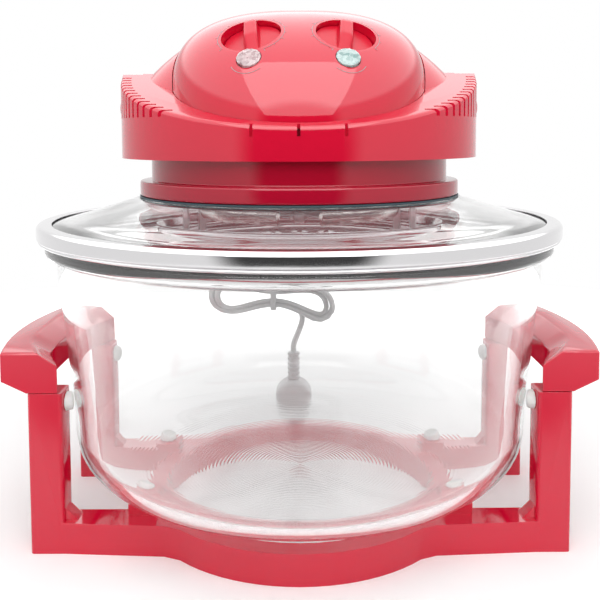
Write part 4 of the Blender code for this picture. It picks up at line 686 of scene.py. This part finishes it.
def head_plan(inset, steps):
    """Plan of the shell: a wide oval in front that steps in to a smaller oval behind."""
    points = []
    front_a, front_b, rear_a, rear_b = (s - inset for s in (SHELL_A, SHELL_B, REAR_A, REAR_B))
    step_y = EAR_END - inset
    first, begin = math.asin(step_y / front_b), math.asin(step_y / rear_b)
    for i in range(steps + 1):
        angle = first - (pi + 2 * first) * i / steps
        points.append((front_a * cos(angle), front_b * sin(angle)))
    for i in range(steps + 1):
        angle = pi - begin - (pi - 2 * begin) * i / steps
        points.append((rear_a * cos(angle), rear_b * sin(angle)))
    return points


neck = to_object(spin_mesh(neck_outline, 128), "neck_fine")
plate_plan = head_plan(WALL + GAP, 60)
plate = to_object(prism_mesh(plate_plan, SHELL_LOW + GAP, SHELL_LOW + 0.0022), "plate")
plate_hole = [(0, 0.23), (0.0917, 0.23), (0.0917, 0.26), (0, 0.26)]
carve(plate, to_object(spin_mesh(plate_hole, 96), "plate_hole"))
carve(neck, plate, "UNION")
bore = prism_mesh(circle_outline(OUTLET_X, OUTLET_Z, OUTLET_R), 0.085, 0.102, "Y")
carve(neck, to_object(bore, "outlet"))
dress(neck, dark_red, "lid", "head_base")


# %% Shell and hood
def roof_height(y):
    """Level of the ears' top, highest over the middle of the head."""
    return ROOF_TOP - ROOF_SLOPE * abs(y)


def slice_off(bm, point, normal):
    """Remove what lies beyond a plane and close the cut."""
    cut = bmesh.ops.bisect_plane(bm, geom=bm.verts[:] + bm.edges[:] + bm.faces[:], dist=1e-7,
                                 plane_co=point, plane_no=normal, clear_outer=True)
    edges = [item for item in cut["geom_cut"] if isinstance(item, bmesh.types.BMEdge)]
    bmesh.ops.holes_fill(bm, edges=edges, sides=0)


def roofed(name, inset, low):
    """Shell plan raised to two sloping planes, with a soft edge along the ears' top."""
    bm = prism_mesh(head_plan(inset, 72), low, ROOF_TOP + PAST)
    bmesh.ops.recalc_face_normals(bm, faces=bm.faces)
    tilt = math.atan(ROOF_SLOPE)
    ridge = (0, 0, ROOF_TOP - inset / cos(tilt))
    slice_off(bm, ridge, (0, -sin(tilt), cos(tilt)))
    slice_off(bm, ridge, (0, sin(tilt), cos(tilt)))
    if not inset:
        bmesh.ops.recalc_face_normals(bm, faces=bm.faces)
        rim = [e for e in bm.edges if len(e.link_faces) == 2 and 0.8 < e.calc_face_angle() < 2.4
               and all(v.co.z > ROOF_FRONT - GAP and v.co.y < EAR_END - 0.0022 for v in e.verts)]
        bmesh.ops.bevel(bm, geom=rim, offset=0.0021, segments=5, profile=0.5, affect="EDGES",
                        material=-1)
    return to_object(bm, name)


HOOD_R, HOOD_DEPTH, HOOD_CENTRE, OVER_ALL = 0.1376, 0.0840, (0, 0.0080, 0.2005), 0.345


def hooded(name, inset):
    """Rounded hood trimmed to the shell's plan."""
    bm = bmesh.new()
    bmesh.ops.create_uvsphere(bm, u_segments=128, v_segments=64, radius=1)
    size = (HOOD_R - inset, HOOD_DEPTH - inset, HOOD_R - inset)
    bmesh.ops.scale(bm, vec=size, verts=bm.verts)
    bmesh.ops.translate(bm, vec=HOOD_CENTRE, verts=bm.verts)
    hood = to_object(bm, name)
    trim = to_object(prism_mesh(head_plan(inset + GAP, 72), SHELL_LOW + PAST, OVER_ALL), "trim")
    return carve(hood, trim, "INTERSECT")


RIBS, RIB_START, RIB_PITCH, RIB_HALF = 13, -0.0100, 0.0055, 0.0009
RIB_FOOT, RIB_DEPTH, RIB_REACH = 0.2668, 0.0014, 0.0068


def rib_tools():
    """Grooves over both ears, each an L that follows the wall and the top edge."""
    bm = bmesh.new()
    for sign in (-1, 1):
        for i in range(RIBS):
            y = RIB_START - i * RIB_PITCH
            edges = (y - RIB_HALF, y + RIB_HALF)
            wall = min(SHELL_A * sqrt(1 - (edge / SHELL_B) ** 2) for edge in edges)
            sections = []
            for edge in edges:
                roof = roof_height(edge)
                outline = rounded([
                    (wall - RIB_DEPTH, RIB_FOOT, 0.0008), (wall + PAST, RIB_FOOT, 0),
                    (wall + PAST, roof + PAST, 0), (wall - RIB_REACH, roof + PAST, 0),
                    (wall - RIB_REACH, roof - RIB_DEPTH, 0.0006),
                    (wall - RIB_DEPTH, roof - RIB_DEPTH, 0.0022)], 4)
                sections.append([(sign * u, edge, v) for u, v in outline])
            groove = loft_mesh(sections)
            spare = bpy.data.meshes.new("groove")
            groove.to_mesh(spare)
            groove.free()
            bm.from_mesh(spare)
            bpy.data.meshes.remove(spare)
    return to_object(bm, "rib_tools")


DOME_A, DOME_B, DOME_Y, SEAM_Y = 0.0800, 0.0740, -0.0240, 0.0060


def dome_plan(grow, steps=96):
    """Plan of the dome's front, cut off straight at the seam with the hood."""
    a, b = DOME_A + grow, DOME_B + grow
    last = math.asin((SEAM_Y + grow - DOME_Y) / b)
    return [(a * cos(last - (pi + 2 * last) * i / steps),
             DOME_Y + b * sin(last - (pi + 2 * last) * i / steps)) for i in range(steps + 1)]


shell = roofed("shell_fine", 0, SHELL_LOW)
carve(shell, hooded("hood", 0), "UNION")
carve(shell, roofed("shell_room", WALL, SHELL_LOW - PAST))
carve(shell, hooded("hood_room", WALL))
carve(shell, to_object(prism_mesh(dome_plan(GAP), 0.2490, OVER_ALL), "dome_opening"))
carve(shell, rib_tools())
SLOT_X, SLOT_HALF, SLOT_FRONT, SLOT_BACK, SLOT_SOFT = 0.0262, 0.0009, -0.110, -0.100, 0.0003
for x in (-SLOT_X, 0, SLOT_X):
    left, right = x - SLOT_HALF, x + SLOT_HALF
    slot = rounded([(left, SLOT_FRONT, SLOT_SOFT), (right, SLOT_FRONT, SLOT_SOFT),
                    (right, SLOT_BACK, SLOT_SOFT), (left, SLOT_BACK, SLOT_SOFT)], 2)
    carve(shell, to_object(prism_mesh(slot, ROOF_FRONT - 0.0052, ROOF_FRONT + 0.006), "notch"))
SPINDLE_Y, SPINDLE_Z, SPINDLE_HOLE_R = 0.0090, 0.2740, 0.0056
for sign in (-1, 1):
    ring = circle_outline(SPINDLE_Y, SPINDLE_Z, SPINDLE_HOLE_R)
    carve(shell, to_object(prism_mesh(ring, sign * 0.0975, sign * 0.108, "X"), "spindle_bore"))
dress(shell, red_plastic, "lid", "top_shell", 32)
print("shell faces", len(shell.data.polygons))

# %% [markdown]
# ## Control dome
# The dome is one smooth swelling over an oval, a little squarer at its sides. Its height is
# a formula, so the same function also lays the printed scales on its skin and finds
# where the knobs' wells break through.

# %% Dome
CROWN_RISE, CROWN_SLOPE, SQUARENESS = 0.0433, 0.09, 0.6


def dome_height(x, y, inset=0.0):
    """Top of the dome over a point of its plan."""
    u, v = x / (DOME_A - inset), (y - DOME_Y) / (DOME_B - inset)
    spread = min(1.0, sqrt(u * u + v * v))
    side = (u / spread) ** 2 if spread else 0
    power = 2.0 + SQUARENESS * side
    rise = CROWN_RISE - CROWN_SLOPE * y
    return ROOF_TOP + ROOF_SLOPE * y + rise * max(0.0, 1 - spread ** power) ** (1 / power) - inset


def dome_body(name, inset, low, sides=160, rings=40):
    """Rings of the height formula, lofted from the skirt up to the crown and cut at the seam."""
    around = [(cos(2 * pi * i / sides), sin(2 * pi * i / sides)) for i in range(sides)]
    a, b = DOME_A - inset, DOME_B - inset
    sections = [[(a * u, DOME_Y + b * v, low) for u, v in around]]
    for k in range(rings, 0, -1):
        share = sin(k / rings * pi / 2)
        ring = [(a * share * u, DOME_Y + b * share * v) for u, v in around]
        sections.append([(x, y, dome_height(x, y, inset)) for x, y in ring])
    bm = loft_mesh(sections)
    bmesh.ops.recalc_face_normals(bm, faces=bm.faces)
    slice_off(bm, (0, SEAM_Y - inset, 0), (0, 1, 0))
    return to_object(bm, name)


KNOB_X, KNOB_Y = 0.0285, -0.0602
WELL_R, WELL_DEPTH = 0.0182, 0.0090
SPINDLE_R = 0.0036
LENS_X, LENS_Y, LENS_R = 0.0286, -0.0785, 0.0072


def knob_place(sign):
    return leaning((sign * KNOB_X, KNOB_Y, dome_height(KNOB_X, KNOB_Y)), (sign * 0.20, -0.55, 0.81))


def lens_place(sign):
    return leaning((sign * LENS_X, LENS_Y, dome_height(LENS_X, LENS_Y)), (sign * 0.12, -0.74, 0.66))


def spun_tool(name, outline, place, steps=64):
    return to_object(spin_mesh(outline, steps), name, place)


def round_rims(piece, places, reach, width, segments=3):
    """Bevel the sharp rim that a bore leaves in a curved skin."""
    bm = bmesh.new()
    bm.from_mesh(piece.data)
    bmesh.ops.remove_doubles(bm, verts=bm.verts, dist=1e-6)
    rims = []
    for place, radius in places:
        back = place.inverted()
        for e in bm.edges:
            if len(e.link_faces) != 2 or e.calc_face_angle() < 0.6:
                continue
            ends = [back @ v.co for v in e.verts]
            if all(abs(sqrt(p.x ** 2 + p.y ** 2) - radius) < 0.0001 and abs(p.z) < reach
                   for p in ends):
                rims.append(e)
    bmesh.ops.bevel(bm, geom=rims, offset=width, segments=segments, profile=0.5, affect="EDGES",
                    material=-1, clamp_overlap=True)
    bm.to_mesh(piece.data)
    bm.free()
    return len(rims)


DOME_LOW, DOME_WALL = 0.2500, 0.0026
CUP_R, CUP_FLOOR, LENS_SEAT = 0.0202, -0.0110, -0.0048
dome = dome_body("dome_fine", 0, DOME_LOW)
room = dome_body("dome_room", DOME_WALL, DOME_LOW - PAST, 96, 24)
for sign in (-1, 1):
    cup = [(0, CUP_FLOOR), (CUP_R, CUP_FLOOR), (CUP_R, PAST), (0, PAST)]
    carve(room, spun_tool("cup", cup, knob_place(sign)))
carve(dome, room)
passage = [(-0.062, -0.0031), (0.062, -0.0031), (0.062, 0.0151), (-0.062, 0.0151)]
carve(dome, to_object(prism_mesh(passage, 0.246, 0.288), "passage"))
for sign in (-1, 1):
    well = [(0, -0.015), (SPINDLE_R, -0.015), (SPINDLE_R, -WELL_DEPTH), (WELL_R, -WELL_DEPTH),
            (WELL_R, 0.008), (0, 0.008)]
    carve(dome, spun_tool("well", well, knob_place(sign)))
    hole = [(0, LENS_SEAT), (LENS_R + GAP, LENS_SEAT), (LENS_R + GAP, PAST), (0, PAST)]
    carve(dome, spun_tool("lens_hole", hole, lens_place(sign), 48))
rims = round_rims(dome, [(knob_place(s), WELL_R) for s in (-1, 1)], 0.006, 0.0007)
rims += round_rims(dome, [(lens_place(s), LENS_R + GAP) for s in (-1, 1)], 0.002, 0.0003)
dress(dome, red_plastic, "lid", "control_dome", 32)
print("dome faces", len(dome.data.polygons), "rounded rim edges", rims)

# %% [markdown]
# ## Lenses
# Each indicator is a small clear cap with facets moulded inside. Its glitter is partly
#  painted: its finish mixes a lit and a shaded copy of its colour cell by cell. The cap is
#  lofted through rings with few sides. They are turned against each other, and the faces
#  between them are split into triangles, to get the facets.

# %% Lenses
def make_lens(name, sign):
    """Low cap whose rings of facets are turned against each other."""
    rings = ((LENS_R, -0.0026, 0), (LENS_R, 0.0006, 0), (0.0061, 0.0011, 0.5), (0.0042, 0.0015, 0),
             (0.0020, 0.0017, 0.5))
    sides = 14
    bm = loft_mesh([[(radius * cos(2 * pi * (i + twist) / sides),
                      radius * sin(2 * pi * (i + twist) / sides), level) for i in range(sides)]
                    for radius, level, twist in rings])
    bmesh.ops.triangulate(bm, faces=[f for f in bm.faces if len(f.verts) == 4])
    return to_object(bm, name, lens_place(sign))


dress(make_lens("power_lens_fine", -1), lens_rose, "lid", "power_lens", 4)
dress(make_lens("heat_lens_fine", 1), lens_green, "lid", "heat_lens", 4)

# %% [markdown]
# ## Printed scales
# The print round the knobs is thin and lies on a doubly curved skin. Narrow ribbons are
# laid on the dome with its own height formula, and stand a tenth of a millimetre proud,
# so they read as print and can't flicker with the skin.

# %% Scales
def on_dome(place, radius, angle, lift=0.00012):
    """Point of the skin that is over a polar point of a knob's plane."""
    point = place @ Vector((radius * cos(angle), radius * sin(angle), 0))
    axis = place.to_3x3() @ Vector((0, 0, 1))
    for _ in range(12):
        gap = point.z - dome_height(point.x, point.y)
        point = point - axis * gap * 0.8
    return point + axis * lift


def print_strokes(name, strokes, width):
    """Flat ribbons laid along strokes of points, joined into one piece of print."""
    bm = bmesh.new()
    for stroke, normal in strokes:
        left, right = [], []
        for i, point in enumerate(stroke):
            ahead = stroke[min(i + 1, len(stroke) - 1)] - stroke[max(i - 1, 0)]
            across = ahead.cross(normal).normalized() * width / 2
            left.append(bm.verts.new(point - across))
            right.append(bm.verts.new(point + across))
        for i in range(len(stroke) - 1):
            bm.faces.new((left[i], right[i], right[i + 1], left[i + 1]))
    bmesh.ops.solidify(bm, geom=bm.faces[:], thickness=0.00008)
    return to_object(bm, name)


SCALE_R, SCALE_START, SCALE_SWEEP, SCALE_LINE = 0.0203, -50, 280, 0.00035
LONG_MARK, SHORT_MARK = 0.0021, 0.0012
MARK_R, MARK_LINE = 0.0112, 0.0004


def scale_strokes(sign, marks):
    """Arc round a knob, with long and short marks in turn on its outer side."""
    place = knob_place(sign)
    normal = place.to_3x3() @ Vector((0, 0, 1))
    arc = [on_dome(place, SCALE_R, radians(SCALE_START + SCALE_SWEEP * i / 48)) for i in range(49)]
    strokes = [(arc, normal)]
    for k in range(marks + 1):
        angle = radians(SCALE_START + SCALE_SWEEP * k / marks)
        reach = SHORT_MARK if k % 2 else LONG_MARK
        mark = [on_dome(place, SCALE_R + reach * i / 3, angle) for i in range(4)]
        strokes.append((mark, normal))
    return strokes


def lens_strokes(sign):
    """Plain arc in front of a lens."""
    place = lens_place(sign)
    normal = place.to_3x3() @ Vector((0, 0, 1))
    turns = [radians(-90 + sign * 8 + (i - 12) * 4.4) for i in range(25)]
    return [([on_dome(place, MARK_R, turn) for turn in turns], normal)]


dress(print_strokes("indicator_marks", lens_strokes(-1) + lens_strokes(1), MARK_LINE),
      scale_print, "lid")
for name, sign, marks in (("temperature_scale", -1, 14), ("timer_scale", 1, 12)):
    dress(print_strokes(name, scale_strokes(sign, marks), SCALE_LINE), scale_print, "lid")

# %% [markdown]
# ## Knobs
# A knob is a disc with a broad finger bar, flat on top, whose front end sweeps down to the
# disc's rim. The disc is spun and the bar lofted through sections with a small fillet at
# their foot. Both knobs stand at their off mark, with the bar turned a little sideways.

# %% Knobs
KNOB_TURN = 20
DISC_R, DISC_LOW, DISC_TOP = 0.0176, 0.0006 - WELL_DEPTH, 0.0036 - WELL_DEPTH
STUB_R, STUB_LENGTH = 0.0030, 0.0052
BAR_HALF, BAR_RISE, BAR_WIDE, BAR_FILLET = 0.0164, 0.0070, 0.0043, 0.0022
FRONT_LIFT, FRONT_SHARE, BACK_DROP, BACK_SHARE = 0.24, 0.80, 0.22, 0.28


def make_knob(name, sign):
    """Disc, stub and lofted finger bar, joined into one body."""
    low, high = DISC_LOW, DISC_TOP
    disc = rounded([(0, low - STUB_LENGTH, 0), (STUB_R, low - STUB_LENGTH, 0.0004),
                    (STUB_R, low, 0), (DISC_R, low, 0.0004), (DISC_R, high, 0.0009),
                    (0, high, 0)], 4)
    knob = to_object(spin_mesh(disc, 72), name)
    sections = []
    for i in range(19):
        y = BAR_HALF * (i / 9 - 1)
        share = y / BAR_HALF
        lift = FRONT_LIFT + (1 - FRONT_LIFT) * smooth_step((share + 1.0) / FRONT_SHARE)
        lift -= BACK_DROP * smooth_step((share - 1 + BACK_SHARE) / BACK_SHARE)
        wide = BAR_WIDE - 0.0004 * share ** 2
        foot = min(wide + 0.0030, sqrt((DISC_R - GAP) ** 2 - y * y))
        crest = high + lift * BAR_RISE
        fillet = BAR_FILLET * min(1, lift + 0.2)
        right = [(foot, low + 0.0012, 0), (foot, high - 0.0001, 0), (wide, high + 0.0002, fillet),
                 (wide * 0.93, crest, 0.0016)]
        left = [(-u, v, reach) for u, v, reach in reversed(right)]
        outline = rounded([left[-1], *right, *left[:-1]], 4)
        sections.append([(u, y, v) for u, v in outline])
    bar = to_object(loft_mesh(sections), "bar")
    carve(knob, bar, "UNION")
    knob.data.transform(knob_place(sign) @ Matrix.Rotation(radians(-sign * KNOB_TURN), 4, "Z"))
    return knob


for node, sign, body in (("temperature_knob", -1, "left_knob"), ("timer_knob", 1, "right_knob")):
    dress(make_knob(node + "_fine", sign), knob_red, body, node)

# %% [markdown]
# ## Stand, handles and pads
# The stand is one moulding with crisp but not sharp edges. A copy of each solid, merged
# back into clean faces and given a live bevel, keeps its exact size and catches light
# along every edge. The pads are small silicone buttons.

# %% Stand and handles
dress(soft_copy("stand_base", 0.0010, 3, 30), red_plastic, "stand", "stand_base", 32)
for word in ("left", "right"):
    node = "side_handle_" + word
    dress(soft_copy(node, 0.0011, 3, 24), red_plastic, "stand", node, 32)
for end in ("front_left", "front_right", "rear_left", "rear_right"):
    for node in ("side_pad_" + end, "base_pad_" + end):
        dress(soft_copy(node, 0.0004, 3, 40), silicone, "stand", node, 50)

# %% Carry handle
for node, width in (("carry_handle", 0.0006), ("pivot_cap_left", 0.0003),
                    ("pivot_cap_right", 0.0003)):
    dress(soft_copy(node, width, 3, 40), red_plastic, "carry_bail", node, 45)

# %% [markdown]
# ## Heater, guard and fans
# Under the head, a chrome dish with rows of holes guards the lamp. It hangs from four flat
# posts under a polished reflector. The ring lamp is a quartz tube that is thicker at both
# ends, where its leads go in.

# %% Guard and lamp
GUARD_HOLE_R, GUARD_LEVEL = 0.0070, 0.1877
GUARD_ROWS = ((0.0340, 10), (0.0580, 18))


def make_guard():
    """Spun dish of thin sheet, with two rows of holes bored through its floor."""
    dish = rounded([(0.0140, 0.1872, 0.0004), (0.0800, 0.1872, 0.003), (0.0860, 0.1892, 0.002),
                    (0.0880, 0.1920, 0.002), (0.0930, 0.1940, 0.003), (0.0950, 0.1980, 0.002),
                    (0.0950, 0.2000, 0.0003), (0.0940, 0.2000, 0.0003), (0.0920, 0.1952, 0.003),
                    (0.0870, 0.1932, 0.002), (0.0850, 0.1904, 0.002), (0.0790, 0.1882, 0.003),
                    (0.0140, 0.1882, 0.0004)], 4)
    guard = to_object(spin_mesh(dish, 128), "guard_fine")
    bm = bmesh.new()
    for row_r, count in GUARD_ROWS:
        for i in range(count):
            angle = 2 * pi * (i + 0.5) / count
            place = Matrix.Translation((row_r * cos(angle), row_r * sin(angle), GUARD_LEVEL))
            bmesh.ops.create_cone(bm, cap_ends=True, segments=24, radius1=GUARD_HOLE_R,
                                  radius2=GUARD_HOLE_R, depth=PAST, matrix=place)
    return carve(guard, to_object(bm, "guard_holes"))


dress(make_guard(), chrome, "lid", "lamp_guard", 40)
for i in range(4):
    node = "guard_post_%d" % (i + 1)
    dress(soft_copy(node, 0.00015, 2, 40), steel, "lid", node)
REFLECTOR_R, REFLECTOR_HOLE_R, REFLECTOR_LOW, REFLECTOR_TOP = 0.0990, 0.0060, 0.2164, 0.2172
reflector = spin_mesh(rounded([
    (REFLECTOR_HOLE_R, REFLECTOR_LOW, 0), (REFLECTOR_R, REFLECTOR_LOW, 0.0003),
    (REFLECTOR_R, REFLECTOR_TOP, 0.0003), (REFLECTOR_HOLE_R, REFLECTOR_TOP, 0)], 2), 96)
dress(to_object(reflector, "reflector_fine"), chrome, "lid", "reflector_plate")


LAMP_R, LAMP_LEVEL, LAMP_START, LAMP_SWEEP = 0.0620, 0.2055, -78, 336
TUBE_R, TUBE_END_R, LAMP_STEPS = 0.0043, 0.0050, 96


def make_lamp():
    """Quartz ring with a thicker end where each lead goes in."""
    sections = []
    for i in range(LAMP_STEPS + 1):
        angle = radians(LAMP_START + LAMP_SWEEP * i / LAMP_STEPS)
        near = min(i, LAMP_STEPS - i)
        radius = TUBE_END_R if near < 3 else TUBE_R
        centre = Vector((LAMP_R * cos(angle), LAMP_R * sin(angle), LAMP_LEVEL))
        out = Vector((cos(angle), sin(angle), 0))
        sections.append([tuple(centre + out * radius * cos(a * pi / 10)
                               + Vector((0, 0, radius * sin(a * pi / 10)))) for a in range(20)])
    return to_object(loft_mesh(sections), "lamp_fine")


dress(make_lamp(), quartz, "lid", "halogen_lamp", 50)

# %% Fans, motor and other inner pieces
for node in ("convection_fan", "cooling_fan"):
    dress(soft_copy(node, 0.0002, 2, 40), steel, "fan_rotor", node)
inner = {"motor_shaft": steel, "fan_nut": steel, "lamp_clip_1": steel, "lamp_clip_2": steel,
         "lamp_clip_3": steel, "fan_motor": steel, "motor_bracket": steel, "thermostat": steel,
         "timer": steel, "safety_switch": black_plastic, "handle_cam": black_plastic,
         "switch_plunger": silicone, "cord_gland": cord_sheath}
for node, material in inner.items():
    nodes[node].data.materials.clear()
    nodes[node].data.materials.append(material)

# %% [markdown]
# ## Studio
# The photograph is a plain studio shot on white. The floor and the world look white to the
# camera, to mirrors and through glass, while the lamps stay at a plain level, so that
# colours come out as written and the floor keeps a soft shadow. In front of the oven
# the room is dark, as it is behind a photographer, which gives steel and glass their edges.

# %% World
def smooth_ramp(tree, value, reach, levels):
    """Smooth change from one level to another while a value goes through a reach."""
    ramp = tree.nodes.new("ShaderNodeMapRange")
    ramp.interpolation_type = "SMOOTHSTEP"
    for label, number in zip(("From Min", "From Max", "To Min", "To Max"), (*reach, *levels)):
        ramp.inputs[label].default_value = number
    tree.links.new(value, ramp.inputs["Value"])
    return ramp.outputs["Result"]


def seen_directly(tree):
    """1 where a ray comes from the camera, a mirror or through glass."""
    path = tree.nodes.new("ShaderNodeLightPath")
    first = add_math(tree, "MAXIMUM", path.outputs["Is Camera Ray"], path.outputs["Is Glossy Ray"])
    return add_math(tree, "MAXIMUM", first, path.outputs["Is Transmission Ray"])


AMBIENT = 0.40
DOORWAY_REACH, DOORWAY_LEVELS = (-0.78, -0.92), (1.0, 0.06)
CEILING_REACH, CEILING_LEVELS = (0.30, 0.42), (1.0, 2.2)
world = bpy.data.worlds.new("studio")
world.use_nodes = True
bpy.context.scene.world = world
tree = world.node_tree
ambient = tree.nodes["Background"]
ambient.inputs["Color"].default_value = (1, 1, 1, 1)
direction = tree.nodes.new("ShaderNodeTexCoord")
parts = tree.nodes.new("ShaderNodeSeparateXYZ")
tree.links.new(direction.outputs["Generated"], parts.inputs["Vector"])
doorway = smooth_ramp(tree, parts.outputs["Y"], DOORWAY_REACH, DOORWAY_LEVELS)
ceiling = smooth_ramp(tree, parts.outputs["Z"], CEILING_REACH, CEILING_LEVELS)
path = tree.nodes.new("ShaderNodeLightPath")
camera_ray, mirror_ray, glass_ray = (path.outputs[label] for label in
                                     ("Is Camera Ray", "Is Glossy Ray", "Is Transmission Ray"))
first = add_math(tree, "MAXIMUM", mirror_ray, glass_ray)
lighting = add_math(tree, "SUBTRACT", 1.0, add_math(tree, "MAXIMUM", first, camera_ray))
total = add_math(tree, "ADD", add_math(tree, "MULTIPLY", lighting, AMBIENT), camera_ray)
through = add_math(tree, "MULTIPLY", glass_ray, doorway)
only_mirror = add_math(tree, "MULTIPLY", mirror_ray, add_math(tree, "SUBTRACT", 1.0, glass_ray))
mirrored = add_math(tree, "MULTIPLY", ceiling, doorway)
total = add_math(tree, "ADD", total, add_math(tree, "MULTIPLY", only_mirror, mirrored))
tree.links.new(add_math(tree, "ADD", total, through), ambient.inputs["Strength"])

# %% Floor
FLOOR_R, FLOOR_WHITE = 0.9, 0.93
SHADE_REACH, SHADE_LEVELS = (-0.20, -0.34), (0.0, 0.70)
FADE_REACH, FADE_LEVELS = (0.30, 0.80), (0.12, 1.0)
bm = bmesh.new()
bmesh.ops.create_circle(bm, segments=96, radius=FLOOR_R, cap_ends=True)
floor = to_object(bm, "floor")
floor_finish = bpy.data.materials.new("floor_finish")
floor_finish.use_nodes = True
tree = floor_finish.node_tree
paint = tree.nodes["Principled BSDF"]
paint.inputs["Roughness"].default_value = 0.9
paint.inputs["Specular IOR Level"].default_value = 0.1
paint.inputs["Emission Color"].default_value = (1, 1, 1, 1)
coordinates = tree.nodes.new("ShaderNodeTexCoord")
distance = tree.nodes.new("ShaderNodeVectorMath")
distance.operation = "LENGTH"
tree.links.new(coordinates.outputs["Object"], distance.inputs[0])
parts = tree.nodes.new("ShaderNodeSeparateXYZ")
tree.links.new(coordinates.outputs["Object"], parts.inputs["Vector"])
# Seen in mirrors, the floor in front of the oven is darker: painted shade that stands for the dark
# room there.
front = smooth_ramp(tree, parts.outputs["Y"], SHADE_REACH, SHADE_LEVELS)
path = tree.nodes.new("ShaderNodeLightPath")
shade = add_math(tree, "MULTIPLY", front, path.outputs["Is Glossy Ray"])
tree.links.new(add_math(tree, "SUBTRACT", FLOOR_WHITE, shade), paint.inputs["Base Color"])
fade = smooth_ramp(tree, distance.outputs["Value"], FADE_REACH, FADE_LEVELS)
tree.links.new(add_math(tree, "MULTIPLY", fade, seen_directly(tree)),
               paint.inputs["Emission Strength"])
floor.data.materials.append(floor_finish)


# %% Lamps
def soft_lamp(name, place, target, size, power, mirrored):
    """Area lamp aimed at a point; only some of them show as reflections."""
    data = bpy.data.lights.new(name, "AREA")
    data.shape = "RECTANGLE"
    data.size, data.size_y = size
    data.energy = power
    lamp = bpy.data.objects.new(name, data)
    lamp.location = place
    lamp.rotation_euler = (Vector(target) - Vector(place)).to_track_quat("-Z", "Y").to_euler()
    lamp.visible_glossy = mirrored
    lamp.visible_transmission = mirrored
    bpy.context.scene.collection.objects.link(lamp)


soft_lamp("front_box", (0, -0.80, 1.05), (0, 0, 0.25), (1.3, 1.5), 13, True)
soft_lamp("top_box", (0, 0.25, 1.35), (0, 0, 0.2), (1.2, 1.2), 5, False)
soft_lamp("left_box", (-1.35, -0.45, 0.55), (0, 0, 0.2), (0.9, 0.7), 2.5, False)
soft_lamp("right_box", (1.35, -0.45, 0.55), (0, 0, 0.2), (0.9, 0.7), 2.5, False)
bpy.context.scene.view_settings.view_transform = "Standard"
